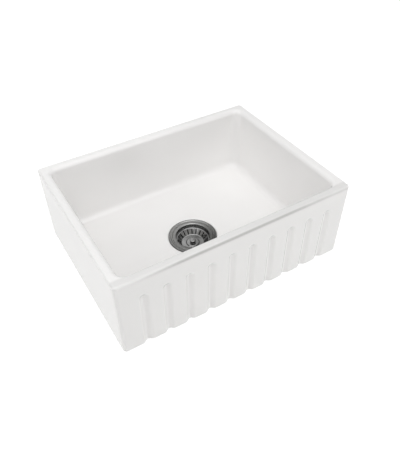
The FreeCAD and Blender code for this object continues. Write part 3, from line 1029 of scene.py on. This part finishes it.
    def build(self, glaze: FireclayGlaze) -> None:
        """Build the bowl's skin and let it stand for the CAD bowl.

        Args:
            glaze: its finish.
        """
        inside = self.drain_rows() + self.floor_rows() + self.wall_rows()
        grid = np.stack(inside + self.outer_rows() + self.base_rows())
        quads = grid_quads(*grid.shape[:2], True, True)
        piece = make_piece("bowl_glazed", grid.reshape(-1, 3), quads, glaze.build(), sharp_degrees=50)
        stand_for(piece, "bowl", Body.SINK)


# ---------------------------------------------------------------- the waste
@dataclass
class PressedDish:
    """The waste's pressed dish: a beaded flange in the floor's rebate, a throat, a ledge for the
    basket, and a floor with drain windows between parallel-sided spokes."""

    sheet: float = 1.0
    flange_radius: float = 63.5
    rebate: float = 92.5
    flange_seat: float = 94.6
    bead_height: float = 1.5
    lip_height: float = 1.7
    ledge: float = 84.2
    floor: float = 56.5
    skirt: float = 5.5
    well: float = 47.5
    waist: float = 34.0
    window_outer: float = 26.0
    window_inner: float = 14.0
    window_count: int = 6
    spoke_width: float = 5.0
    edge_lift: float = 0.6
    bead_radii: tuple[float, float] = (62.2, 58.6)
    valley_radii: tuple[float, float] = (57.0, 53.6)
    lip_radii: tuple[float, float] = (52.0, 44.1)
    ledge_radii: tuple[float, float] = (43.7, 42.0)
    well_radii: tuple[float, float] = (11.0, 9.8)
    screw_hole: float = 4.3
    spoke_columns: int = 2
    window_columns: int = 20

    def path(self) -> np.ndarray:
        """Middle line of the sheet, from the flange's turned-down edge to the screw's hole.

        Returns:
            Its points, as radius and height.
        """
        low = self.flange_seat + self.sheet / 2
        bead = low + self.bead_height
        lip = low + self.lip_height
        corners = [
            (self.flange_radius - self.sheet / 2, self.rebate + self.edge_lift, 0),
            (self.bead_radii[0], bead, 1.4),
            (self.bead_radii[1], bead, 1.4),
            (self.valley_radii[0], low, 1.2),
            (self.valley_radii[1], low, 1.2),
            (self.lip_radii[0], lip, 1.4),
            (self.lip_radii[1], lip, 3.0),
            (self.ledge_radii[0], self.ledge, 0.7),
            (self.ledge_radii[1], self.ledge, 0.7),
            (self.waist, self.floor + self.skirt, 1.5),
            (self.waist, self.floor, 1.5),
            (self.window_outer, self.floor, 0),
            (self.window_inner, self.floor, 0),
            (self.well_radii[0], self.floor, 1.0),
            (self.well_radii[1], self.well, 1.0),
            (self.screw_hole, self.well, 0),
        ]
        return softened(corners)

    def build(self, steel: bpy.types.Material) -> None:
        """Turn the middle line, leave the windows out and give the sheet its thickness.

        Args:
            steel: its finish.
        """
        path = self.path()
        radius = np.clip(path[:, 0], self.window_inner, self.window_outer)
        spoke = np.full(len(path), self.spoke_width / 2)
        across, between = self.spoke_columns, self.window_columns
        angles = strip_angles(radius, spoke, self.window_count, 0.0, across, between)
        middle = (path[:-1] + path[1:]) / 2
        on_floor = np.isclose(middle[:, 1], self.floor)
        in_reach = (middle[:, 0] < self.window_outer) & (middle[:, 0] > self.window_inner)
        column = np.arange(angles.shape[1]) % (across + between)
        open_quads = (on_floor & in_reach)[:, None] & (column >= across)[None, :]
        points, quads = turned_sheet(path, self.sheet, angles, ~open_quads)
        piece = make_piece("waste_dish_pressed", points, quads, steel)
        stand_for(piece, "waste_dish", Body.SINK)


@dataclass
class StrainerBasket:
    """The strainer basket: a rim on the dish's ledge, a cone with round-ended slots, a floor with
    a raised middle, and the flanged hub that guides the post."""

    sheet: float = 0.8
    rim_radius: float = 42.8
    rim: float = 85.1
    shoulder: float = 41.0
    floor: float = 70.6
    floor_radius: float = 29.6
    raised: float = 73.2
    slot_count: int = 20
    slot_width: float = 3.4
    slot_inner: float = 31.0
    slot_outer: float = 40.0
    slot_tip: float = 0.2  # least width of a slot's round end, as a share of its width
    rise_radii: tuple[float, float] = (18.0, 15.5)
    end_rows: int = 5
    end_first: float = 0.12  # share of a round end's quarter turn at its first row
    straight_rows: int = 2
    slot_columns: int = 2
    bar_columns: int = 6
    hub_bore: float = 3.08
    hub_sleeve: float = 5.5
    hub_flange: float = 8.0
    hub_foot: float = 72.5
    hub_top: float = 74.6
    hub_columns: int = 96

    def slot_radii(self) -> np.ndarray:
        """Radii of the rows that cross the slots. They are close together at the round ends,
        where each lies at the end's radius times 1 - cos of an even step of a quarter turn.

        Returns:
            The radii, from the inside out.
        """
        end = self.slot_width / 2
        rise = end * (1 - np.cos(np.linspace(self.end_first, 1, self.end_rows) * math.pi / 2))
        low, high = self.slot_inner + end, self.slot_outer - end
        straight = np.linspace(low, high, self.straight_rows + 2)[1:-1]
        return np.concatenate([self.slot_inner + rise, straight, (self.slot_outer - rise)[::-1]])

    def slot_half_width(self, radius: np.ndarray) -> np.ndarray:
        """Half width of a slot at a radius: half its width, and less in its round ends, where it
        is the half chord of the end's circle.

        Args:
            radius: distance from the axis.

        Returns:
            Half width, at least the given share of the straight part's.
        """
        end = self.slot_width / 2
        short = np.maximum(self.slot_inner + end - radius, radius - (self.slot_outer - end))
        chord = np.sqrt(np.clip(end**2 - np.clip(short, 0, end) ** 2, 0, None))
        return np.where(short > end, end, np.maximum(chord, self.slot_tip * end))

    def build_shell(self, steel: bpy.types.Material) -> None:
        """Turn the basket's middle line, leave the slots out and give it its thickness.

        Args:
            steel: its finish.
        """
        slope = (self.rim - self.floor) / (self.shoulder - self.floor_radius)
        slots = self.slot_radii()[::-1]
        corners = [
            (self.rim_radius, self.rim, 0),
            (self.shoulder, self.rim, 0.9),
            *[(radius, self.floor + (radius - self.floor_radius) * slope, 0) for radius in slots],
            (self.floor_radius, self.floor, 2.0),
            (self.rise_radii[0], self.floor, 1.2),
            (self.rise_radii[1], self.raised, 1.2),
            (self.hub_sleeve + PLAY, self.raised, 0),
        ]
        path = softened(corners)
        reach = np.clip(path[:, 0], self.slot_inner, self.slot_outer)
        half = self.slot_half_width(path[:, 0])
        first = TURN / self.slot_count / 2
        across, between = self.slot_columns, self.bar_columns
        angles = strip_angles(reach, half, self.slot_count, first, across, between)
        middle = (path[:-1, 0] + path[1:, 0]) / 2
        crossing = (middle > slots.min()) & (middle < slots.max())
        column = np.arange(angles.shape[1]) % (across + between)
        open_quads = crossing[:, None] & (column < across)[None, :]
        points, quads = turned_sheet(path, self.sheet, angles, ~open_quads)
        piece = make_piece("basket_pressed", points, quads, steel)
        stand_for(piece, "basket", Body.BASKET)

    def build_hub(self, steel: bpy.types.Material) -> None:
        """Turn the hub.

        Args:
            steel: its finish.
        """
        top = self.raised + self.sheet / 2
        corners = [
            (self.hub_bore, self.hub_foot, 0.2),
            (self.hub_sleeve, self.hub_foot, 0.3),
            (self.hub_sleeve, top, 0),
            (self.hub_flange, top, 0.2),
            (self.hub_flange, self.hub_top, 0.5),
            (self.hub_bore, self.hub_top, 0.3),
        ]
        points, quads = turned(softened(corners, closed=True), self.hub_columns)
        piece = make_piece("basket_hub_turned", points, quads, steel)
        stand_for(piece, "basket_hub", Body.BASKET)


@dataclass
class LiftStopper:
    """What slides in the basket's hub: knob, post, the rubber disc with its backing plate, the
    clip under it, and the split spring on the post's tip."""

    knob_foot: float = 75.0
    knob_radius: float = 8.0
    knob_height: float = 7.0
    cap_height: float = 4.2
    neck_radius: float = 4.6
    post_radius: float = 3.0
    shoulder_radius: float = 4.5
    shoulder_top: float = 64.1
    plate_top: float = 61.0
    disc_top: float = 60.0
    disc_foot: float = 57.0
    disc_radius: float = 30.5
    plate_radius: float = 26.0
    throat_radius: float = 2.5
    clip_radius: float = 5.5
    clip_foot: float = 56.0
    clip_gap: float = 3.0
    tip_radius: float = 2.0
    tip: float = 50.3
    bead_height: float = 0.8
    spring_radius: float = 3.0
    spring_height: float = 3.4
    spring_slit: float = 0.8
    cap_bevel: tuple[float, float] = (0.6, 1.2)  # in and up, under the cap
    cap_shoulder: tuple[float, float] = (2.2, 1.6)  # in and down, where the crown begins
    crown_rise: float = 0.1
    crown: float = 2.0  # metal over the post's end
    recess_radii: tuple[float, ...] = (10.0, 10.8, 27.4, 28.2)
    recess_depth: float = 0.5
    knob_columns: int = 96
    post_columns: int = 64
    disc_columns: int = 128
    clip_columns: int = 72
    spring_columns: int = 60

    def build_knob(self, steel: bpy.types.Material) -> None:
        """Turn the knob: a low crown with a soft rim on a narrow neck.

        Args:
            steel: its finish.
        """
        top = self.knob_foot + self.knob_height
        cap_foot = top - self.cap_height
        bore = self.post_radius + PLAY
        under, over = self.cap_bevel, self.cap_shoulder
        corners = [
            (bore, self.knob_foot, 0.2),
            (self.neck_radius, self.knob_foot, 0.3),
            (self.neck_radius, cap_foot, 0.8),
            (self.knob_radius - under[0], cap_foot, 0.5),
            (self.knob_radius, cap_foot + under[1], 0.6),
            (self.knob_radius, top - over[1], 1.4),
            (self.knob_radius - over[0], top - self.crown_rise, 2.4),
            (0, top, 0),
            (0, top - self.crown, 0),
            (bore, top - self.crown, 0),
        ]
        points, quads = turned(softened(corners, closed=True), self.knob_columns)
        piece = make_piece("lift_knob_turned", points, quads, steel)
        stand_for(piece, "lift_knob", Body.STOPPER)

    def build_post(self, steel: bpy.types.Material) -> None:
        """Turn the post, with its shoulder, neck, slender tip and end bead.

        Args:
            steel: its finish.
        """
        top = self.knob_foot + self.knob_height - self.crown
        bead_top = self.tip + self.bead_height
        corners = [
            (0, self.tip, 0),
            (self.throat_radius, self.tip, 0.3),
            (self.throat_radius, bead_top, 0.2),
            (self.tip_radius, bead_top, 0),
            (self.tip_radius, self.disc_foot, 0),
            (self.throat_radius, self.disc_foot, 0),
            (self.throat_radius, self.plate_top, 0),
            (self.shoulder_radius, self.plate_top, 0.2),
            (self.shoulder_radius, self.shoulder_top, 0.6),
            (self.post_radius, self.shoulder_top, 0),
            (self.post_radius, top, 0.3),
            (0, top, 0),
        ]
        points, quads = turned(softened(corners), self.post_columns)
        piece = make_piece("lift_post_turned", points, quads, steel)
        stand_for(piece, "lift_post", Body.STOPPER)

    def build_disc(self, rubber: bpy.types.Material, steel: bpy.types.Material) -> None:
        """Turn the rubber disc, with a soft edge and two sealing ribs below, and its plate, which
        is rounded along its upper edge.

        Args:
            rubber: the disc's finish.
            steel: the plate's finish.
        """
        bore = self.throat_radius + PLAY
        foot = self.disc_foot
        recess = foot + self.recess_depth
        disc = [
            (bore, foot, 0.2),
            *zip(self.recess_radii, (foot, recess, recess, foot), (0.3,) * 4),
            (self.disc_radius, foot, 0.7),
            (self.disc_radius, self.disc_top, 0.9),
            (bore, self.disc_top, 0.2),
        ]
        points, quads = turned(softened(disc, closed=True), self.disc_columns)
        piece = make_piece("stopper_seal_moulded", points, quads, rubber)
        stand_for(piece, "stopper_seal", Body.STOPPER)
        plate = [
            (bore, self.disc_top, 0.1),
            (self.plate_radius, self.disc_top, 0.1),
            (self.plate_radius, self.plate_top, 0.6),
            (bore, self.plate_top, 0.1),
        ]
        points, quads = turned(softened(plate, closed=True), self.disc_columns)
        piece = make_piece("stopper_plate_pressed", points, quads, steel)
        stand_for(piece, "stopper_plate", Body.STOPPER)

    def build_clip(self, steel: bpy.types.Material) -> None:
        """Turn the open clip and the split spring, both open towards the back.

        Args:
            steel: their finish.
        """
        bore = self.tip_radius + PLAY
        outline = flat_ring(bore, self.clip_radius, self.clip_foot, self.disc_foot, 0.2)
        points, quads, caps = split_ring(outline, self.clip_gap, self.clip_columns)
        piece = make_piece("stopper_clip_stamped", points, quads, steel, caps)
        stand_for(piece, "stopper_clip", Body.STOPPER)
        low = self.tip + self.bead_height
        high = low + self.spring_height
        spring = [
            (bore, low, 0),
            (self.throat_radius, low, 0.1),
            (self.spring_radius, (low + high) / 2, 2.0),
            (self.throat_radius, high, 0.1),
            (bore, high, 0),
        ]
        outline = softened(spring, closed=True)
        points, quads, caps = split_ring(outline, self.spring_slit, self.spring_columns)
        piece = make_piece("post_spring_rolled", points, quads, steel, caps)
        stand_for(piece, "post_spring", Body.STOPPER)


@dataclass
class Clamp:
    """The long screw with its slotted head, the washer under it, and the brass nut that is
    moulded into the body's spider."""

    screw_end: float = 25.0
    screw_radius: float = 4.0
    thread_pitch: float = 1.25
    thread_depth: float = 0.7
    thread_top: float = 46.0
    seat: float = 48.8
    head_radius: float = 8.0
    head_top: float = 55.0
    socket_radius: float = 3.3
    socket_depth: float = 5.0
    slot_width: float = 1.6
    slot_depth: float = 2.0
    washer_radius: float = 7.5
    washer_bore: float = 4.3
    washer_foot: float = 48.0
    nut_foot: float = 27.0
    nut_height: float = 12.0
    nut_across: float = 13.0
    tip_bevel: float = 0.8
    seat_bevel: float = 0.3
    head_bevel: float = 0.7
    head_rows: tuple[float, float] = (6.0, 4.5)
    thread_rows: int = 8  # rows in one turn of the thread
    thread_ends: float = 0.5
    nut_bevel: float = 0.5
    nut_edge: tuple[float, float] = (0.1, 0.6)  # in and up, at the nut's foot
    slot_columns: int = 4
    side_columns: int = 44
    washer_columns: int = 72
    nut_columns: int = 96

    def build_screw(self, steel: bpy.types.Material) -> None:
        """Turn the screw, run its thread and press the driver slot into its head: between the
        slot's parallel sides the head's top lies lower by the slot's depth.

        Args:
            steel: its finish.
        """
        socket_floor = self.head_top - self.socket_depth
        start = self.screw_end + self.tip_bevel
        rows = np.arange(start, self.thread_top, self.thread_pitch / self.thread_rows)
        below = [
            (0, self.screw_end),
            (self.screw_radius - self.tip_bevel, self.screw_end),
            *[(self.screw_radius, height) for height in rows],
            (self.screw_radius, self.seat),
            (self.head_radius - self.seat_bevel, self.seat),
            (self.head_radius, self.seat + self.seat_bevel),
        ]
        flat_radii = (self.head_radius - self.head_bevel, *self.head_rows, self.socket_radius)
        rim = [(self.head_radius, self.head_top - self.head_bevel)]
        rim += [(radius, self.head_top) for radius in flat_radii]
        socket = [(self.socket_radius, socket_floor), (0, socket_floor)]
        outline = np.array(below + rim + socket)
        half = np.full(len(outline), self.slot_width / 2)
        reach = np.clip(outline[:, 0], self.socket_radius, self.head_radius)
        across, between = self.slot_columns, self.side_columns
        angles = strip_angles(reach, half, 2, 0.0, across, between)
        # Each slot edge has its column twice: one stays at the head's top, one goes down.
        edges = [0, across, across + between, 2 * across + between]
        order = np.sort(np.concatenate([np.arange(angles.shape[1]), edges]))
        place = np.arange(len(order)) % (across + between + 2)
        low_side = (place > 0) & (place < across + 2)
        angles = angles[:, order]
        grid = revolve(outline, angles)
        first = len(below)
        slot_floor = self.head_top - self.slot_depth
        top_rows = grid[first : first + len(rim)]
        top_rows[:, low_side, 2] = slot_floor
        grid = self.threaded(grid)
        quads = grid_quads(len(outline), len(order), False, True)
        piece = make_piece("clamp_screw_turned", grid.reshape(-1, 3), quads, steel)
        stand_for(piece, "clamp_screw", Body.SINK)

    def threaded(self, grid: np.ndarray) -> np.ndarray:
        """Cut the screw's thread into the rows of its shank.

        Args:
            grid: rows of points round the axis.

        Returns:
            The grid with its thread.
        """
        span = (self.screw_end + self.thread_ends, self.thread_top - self.thread_ends)
        return cut_thread(grid, self.screw_radius, span, self.thread_pitch, self.thread_depth)

    def build_washer(self, nylon: bpy.types.Material) -> None:
        """Turn the washer.

        Args:
            nylon: its finish.
        """
        outline = flat_ring(self.washer_bore, self.washer_radius, self.washer_foot, self.seat, 0.15)
        points, quads = turned(outline, self.washer_columns)
        piece = make_piece("screw_washer_moulded", points, quads, nylon)
        stand_for(piece, "screw_washer", Body.SINK)

    def build_nut(self, brass: bpy.types.Material) -> None:
        """Shape the nut: rings whose outer radius follows a hexagon, with a bevelled foot.

        Args:
            brass: its finish.
        """
        bore = self.screw_radius + PLAY
        foot, top = self.nut_foot, self.nut_foot + self.nut_height
        bevel, (edge, edge_height) = self.nut_bevel, self.nut_edge
        count = self.nut_columns
        outline = np.array([(bore, top), (bore, foot + bevel), (bore + bevel, foot)])
        angles = np.tile(np.arange(count) * TURN / count, (len(outline), 1))
        flat = hexagon_radius(angles[0], self.nut_across)
        rings = [
            ring_of(np.minimum(flat, self.nut_across / 2 - edge), angles[0], foot),
            ring_of(flat, angles[0], foot + edge_height),
            ring_of(flat, angles[0], top),
        ]
        grid = np.concatenate([revolve(outline, angles), np.stack(rings)])
        quads = grid_quads(len(grid), count, True, True)
        piece = make_piece("clamp_nut_turned", grid.reshape(-1, 3), quads, brass, sharp_degrees=20)
        stand_for(piece, "clamp_nut", Body.SINK)


@dataclass
class WasteBody:
    """The moulded body under the sink: mouth flange with ribs, skirt, funnel, collar, threaded
    outlet, and the spider inside that holds the nut; with the two seals of the drain hole."""

    wall: float = 3.0
    mouth_radius: float = 56.0
    height: float = 69.0
    skirt_radius: float = 49.5
    skirt_foot: float = 43.0
    outlet_radius: float = 23.9
    outlet_length: float = 27.0
    thread_length: float = 20.0
    thread_pitch: float = 2.309
    thread_depth: float = 1.479
    collar_radius: float = 27.0
    collar_height: float = 4.0
    rib_count: int = 8
    rib_width: float = 2.4
    rib_height: float = 20.0
    spider_foot: float = 27.0
    hub_radius: float = 10.0
    hub_height: float = 17.0
    arm_count: int = 4
    arm_width: float = 3.0
    arm_height: float = 13.0
    nut_across: float = 13.0
    nut_height: float = 12.0
    bore: float = 4.3
    lead_in: float = 1.2
    thread_gap: float = 0.3  # between the collar and the thread's first row
    thread_ends: float = 0.8
    thread_rows: int = 10  # rows in one turn of the thread
    hub_bevel: float = 0.8
    arm_root: float = 8.0
    rib_overlap: float = 0.2
    rib_foot: float = 0.6
    seal_radii: tuple[float, float] = (50.0, 60.5)
    seal_heights: tuple[float, float] = (92.5, 94.6)
    gasket_radii: tuple[float, float] = (47.0, 56.0)
    gasket_top: float = 72.0
    columns: int = 120
    hub_columns: int = 96
    seal_columns: int = 128

    def shell(self) -> tuple[np.ndarray, np.ndarray]:
        """The turned shell, whose outlet carries the thread.

        Returns:
            Points and quads.
        """
        half = self.wall / 2
        path = np.array(
            [
                (self.mouth_radius, self.height - half),
                (self.skirt_radius - half, self.height - half),
                (self.skirt_radius - half, self.skirt_foot),
                (self.outlet_radius - half, self.outlet_length),
                (self.outlet_radius - half, 0),
            ]
        )
        shift = mitres(path) * half
        outside = path + shift
        inside = path - shift
        collar_top = self.thread_length + self.collar_height
        start = self.thread_length - self.thread_gap
        rows = np.arange(start, self.lead_in, -self.thread_pitch / self.thread_rows)
        corners = [
            *[(*point, bend) for point, bend in zip(outside, (0.6, 1.0, 3.0, 2.0))],
            (self.outlet_radius, collar_top, 0.8),
            (self.collar_radius, collar_top, 0.5),
            (self.collar_radius, self.thread_length, 0.5),
            (self.outlet_radius, self.thread_length, 0),
            *[(self.outlet_radius, height, 0) for height in rows],
            (self.outlet_radius - self.lead_in, 0, 0.2),
            (self.outlet_radius - self.wall, 0, 0.4),
            *[(*point, bend) for point, bend in zip(inside[3::-1], (2.0, 3.0, 0.5, 0.5))],
        ]
        outline = softened(corners, closed=True)
        angles = np.tile(np.arange(self.columns) * TURN / self.columns, (len(outline), 1))
        grid = revolve(outline, angles)
        span = (self.thread_ends, self.thread_length - self.thread_ends)
        grid = cut_thread(grid, self.outlet_radius, span, self.thread_pitch, self.thread_depth)
        return grid.reshape(-1, 3), grid_quads(len(outline), self.columns, True, True)

    def hub(self) -> tuple[np.ndarray, np.ndarray]:
        """The spider's hub: rings with the nut's hexagonal pocket below and the bore above.

        Returns:
            Points and quads.
        """
        angles = np.arange(self.hub_columns) * TURN / self.hub_columns
        foot, top = self.spider_foot, self.spider_foot + self.hub_height
        ceiling = foot + self.nut_height
        pocket = hexagon_radius(angles, self.nut_across)
        even = np.ones_like(angles)
        rings = [
            (pocket, foot),
            (even * self.hub_radius, foot),
            (even * self.hub_radius, top - self.hub_bevel),
            (even * (self.hub_radius - self.hub_bevel), top),
            (even * self.bore, top),
            (even * self.bore, ceiling),
            (pocket, ceiling),
        ]
        grid = np.stack([ring_of(radius, angles, height) for radius, height in rings])
        return grid.reshape(-1, 3), grid_quads(len(rings), self.hub_columns, True, True)

    def build(self, plastic: bpy.types.Material) -> None:
        """Join shell, hub, arms and ribs into one piece. Arms and ribs are flat plates with an
        outline in the plane through the axis, repeated round it.

        Args:
            plastic: its finish.
        """
        foot, top = self.spider_foot, self.spider_foot + self.arm_height
        slope = (self.skirt_radius - self.outlet_radius) / (self.skirt_foot - self.outlet_length)
        inner = self.outlet_radius - self.wall / 2
        root = self.arm_root
        arm = [(root, foot), (inner, foot), (inner + (top - foot) * slope, top), (root, top)]
        under = self.height - self.wall + self.rib_overlap
        low = under - self.rib_height
        side = self.skirt_radius - self.wall / 2
        reach = self.mouth_radius - self.wall / 2
        rib = [(side, under), (side, low), (side + self.rib_foot, low), (reach, under)]
        shapes = [
            self.shell(),
            self.hub(),
            radial_plates(arm, self.arm_width, self.arm_count, 0.5),
            radial_plates(rib, self.rib_width, self.rib_count, 0.0),
        ]
        points, quads = joined(shapes)
        piece = make_piece("waste_body_moulded", points, quads, plastic)
        stand_for(piece, "waste_body", Body.SINK)

    def build_seals(self, grey: bpy.types.Material, black: bpy.types.Material) -> None:
        """Turn the ring under the flange and the gasket on the body's mouth.

        Args:
            grey: the upper ring's finish.
            black: the gasket's finish.
        """
        upper = flat_ring(*self.seal_radii, *self.seal_heights, 0.5)
        points, quads = turned(upper, self.seal_columns)
        piece = make_piece("flange_seal_moulded", points, quads, grey)
        stand_for(piece, "flange_seal", Body.SINK)
        lower = flat_ring(*self.gasket_radii, self.height, self.gasket_top, 0.5)
        points, quads = turned(lower, self.seal_columns)
        piece = make_piece("under_gasket_moulded", points, quads, black)
        stand_for(piece, "under_gasket", Body.SINK)


# ---------------------------------------------------------------- the studio
@dataclass(frozen=True)
class SoftBox:
    """One soft square lamp that faces the sink; lengths in millimetres."""

    name: str
    at: tuple[float, float, float]
    side: float
    watts: float


@dataclass
class Studio:
    """Pale floor at the sink's underside, soft lamps, and the camera at the photograph's view."""

    floor_height: float = 69.8
    floor_radii: tuple[float, ...] = (70.0, 400.0, 1500.0, 6000.0)
    floor_columns: int = 96
    floor_colour: str = "#f4f4f3"
    seen_colour: str = "#8c8c8b"
    # near_glow is painted shade round the sink; far_glow is the even white further out.
    near_glow: float = 0.86
    far_glow: float = 1.0
    glow_reach: tuple[float, float] = (380.0, 900.0)
    ambient: float = 0.12
    focal_length: float = 39.03
    azimuth: float = -31.0596
    elevation: float = 42.8643
    roll: float = -0.502
    target: tuple[float, float, float] = (0.0, -38.0, 160.0)
    distance: float = 1230.969
    shift_right: float = -0.306
    shift_up: float = -6.728
    lamps: tuple[SoftBox, ...] = (
        SoftBox("overhead", (0, 0, 2200), 2400, 10.8),
        SoftBox("zenith", (0, 0, 3200), 1300, 9.2),
        SoftBox("over_apron", (-100, -1400, 1900), 2200, 22.2),
        SoftBox("left_side", (-1900, -50, 1300), 2000, 15.4),
        SoftBox("right_side", (1900, 100, 1000), 1300, 3.2),
        SoftBox("low_right", (1300, -1300, 430), 700, 4.0),
        SoftBox("above_behind", (100, 1100, 1700), 1400, 1.8),
        SoftBox("behind", (300, 2000, 900), 1300, 2.8),
    )

    def build(self) -> None:
        """Build floor, surroundings, lamps and camera."""
        self.build_floor()
        self.build_world()
        for lamp in self.lamps:
            self.build_lamp(lamp)
        self.build_camera()
        bpy.context.scene.view_settings.view_transform = "Standard"

    def seen_directly(self, tree: bpy.types.NodeTree) -> bpy.types.NodeSocket:
        """One for rays from the camera and for what metal and glass show, else zero.

        Args:
            tree: node tree to add to.

        Returns:
            Socket with the one or zero.
        """
        rays = add(tree, "LightPath")
        kinds = [rays.outputs[name] for name in ("Is Camera Ray", "Is Glossy Ray", "Is Transmission Ray")]
        first = add(tree, "Math", {0: kinds[0], 1: kinds[1]}, operation="MAXIMUM")
        return add(tree, "Math", {0: first.outputs[0], 1: kinds[2]}, operation="MAXIMUM").outputs[0]

    def build_floor(self) -> None:
        """A wide flat ring round the hole that the waste hangs through, so the sink stands on
        the floor. It lights the sink as pale matt paper does. Seen directly it glows white, and a
        little less near the sink: painted shade round the sink, over the real shadow that falls there."""
        material, tree = new_material("paper_floor")
        paper = add(tree, "BsdfDiffuse", {"Color": linear(self.floor_colour)})
        place = add(tree, "TexCoord").outputs["Object"]
        away = add(tree, "VectorMath", {0: place}, operation="LENGTH")
        glow = add(
            tree,
            "MapRange",
            {
                "Value": away.outputs["Value"],
                "From Min": self.glow_reach[0] * MM,
                "From Max": self.glow_reach[1] * MM,
                "To Min": self.near_glow,
                "To Max": self.far_glow,
            },
            interpolation_type="SMOOTHSTEP",
        )
        white = add(tree, "Emission", {"Strength": glow.outputs["Result"]})
        shaded = add(tree, "BsdfDiffuse", {"Color": linear(self.seen_colour)})
        seen = add(tree, "AddShader", {0: white.outputs[0], 1: shaded.outputs[0]})
        both = add(tree, "MixShader", {0: self.seen_directly(tree), 1: paper.outputs[0], 2: seen.outputs[0]})
        close_material(tree, both.outputs[0])
        angles = np.arange(self.floor_columns) * TURN / self.floor_columns
        even = np.ones_like(angles)
        rings = [ring_of(even * radius, angles, self.floor_height) for radius in self.floor_radii]
        mesh = bpy.data.meshes.new("paper_floor")
        quads = grid_quads(len(rings), self.floor_columns, False, True)
        mesh.from_pydata((np.concatenate(rings) * MM).tolist(), [], quads[:, ::-1].tolist())
        mesh.materials.append(material)
        floor = bpy.data.objects.new("paper_floor", mesh)
        bpy.context.scene.collection.objects.link(floor)

    def build_world(self) -> None:
        """Faint even surroundings, which the camera, metal and glass see as plain white."""
        world = bpy.data.worlds.new("studio")
        world.use_nodes = True
        tree = world.node_tree
        tree.nodes.clear()
        strength = add(
            tree, "MapRange", {"Value": self.seen_directly(tree), "To Min": self.ambient, "To Max": 1.0}
        )
        white = add(
            tree, "Background", {"Color": (1.0, 1.0, 1.0, 1.0), "Strength": strength.outputs["Result"]}
        )
        add(tree, "OutputWorld", {"Surface": white.outputs[0]})
        bpy.context.scene.world = world

    def build_lamp(self, box: SoftBox) -> None:
        """Hang one lamp and turn it to the sink.

        Args:
            box: the lamp.
        """
        lamp = bpy.data.lights.new(box.name, "AREA")
        lamp.size = box.side * MM
        lamp.energy = box.watts
        light = bpy.data.objects.new(box.name, lamp)
        away = Vector(box.at) - Vector(self.target)
        turn = away.to_track_quat("Z", "Y").to_matrix().to_4x4()
        light.matrix_world = Matrix.Translation(Vector(box.at) * MM) @ turn
        bpy.context.scene.collection.objects.link(light)

    def build_camera(self) -> None:
        """The camera looks at the target from the given azimuth and elevation, then moves a
        little sideways and up, and rolls."""
        across, raised, roll = (math.radians(a) for a in (self.azimuth, self.elevation, self.roll))
        level = math.cos(raised)
        back = Vector((math.sin(across) * level, -math.cos(across) * level, math.sin(raised)))
        right = Vector((math.cos(across), math.sin(across), 0))
        up = back.cross(right)
        place = Vector(self.target) + back * self.distance
        place += right * self.shift_right + up * self.shift_up
        rolled_right = right * math.cos(roll) + up * math.sin(roll)
        rolled_up = up * math.cos(roll) - right * math.sin(roll)
        lens = bpy.data.cameras.new("camera")
        lens.lens = self.focal_length
        camera = bpy.data.objects.new("camera", lens)
        turn = Matrix((rolled_right, rolled_up, back)).transposed().to_4x4()
        camera.matrix_world = Matrix.Translation(place * MM) @ turn
        bpy.context.scene.collection.objects.link(camera)
        bpy.context.scene.camera = camera


def main() -> None:
    """Build the studio, then each sub-assembly."""
    logging.basicConfig(level=logging.INFO, format="%(name)s %(message)s")
    Studio().build()
    bowl = FlutedBowl()
    bowl.build(FireclayGlaze(bowl.front, bowl.rim))
    # Each metal's first colour is its painted light side, its second the painted shade on the far side.
    satin = TurnedMetal("satin_stainless", "#888887", "#4a4a49", 0.24).build()
    polished = TurnedMetal("polished_stainless", "#909090", "#6c6c6b", 0.17).build()
    plain = TurnedMetal("plain_stainless", "#6e6e6d", "#686867", 0.38).build()
    brass = TurnedMetal("turned_brass", "#c8a05a", "#c09850", 0.35).build()
    rubber = MouldedPolymer("black_rubber", "#2a2a2b", 0.62).build()
    grey = MouldedPolymer("grey_rubber", "#5c5c5b", 0.7).build()
    nylon = MouldedPolymer("natural_nylon", "#dedcd4", 0.45).build()
    plastic = MouldedPolymer("black_polypropylene", "#2b2b2d", 0.42).build()
    PressedDish().build(satin)
    basket = StrainerBasket()
    basket.build_shell(polished)
    basket.build_hub(polished)
    stopper = LiftStopper()
    stopper.build_knob(polished)
    stopper.build_post(plain)
    stopper.build_disc(rubber, plain)
    stopper.build_clip(plain)
    clamp = Clamp()
    clamp.build_screw(plain)
    clamp.build_washer(nylon)
    clamp.build_nut(brass)
    body = WasteBody()
    body.build(plastic)
    body.build_seals(grey, rubber)


if __name__ == "__main__":
    main()
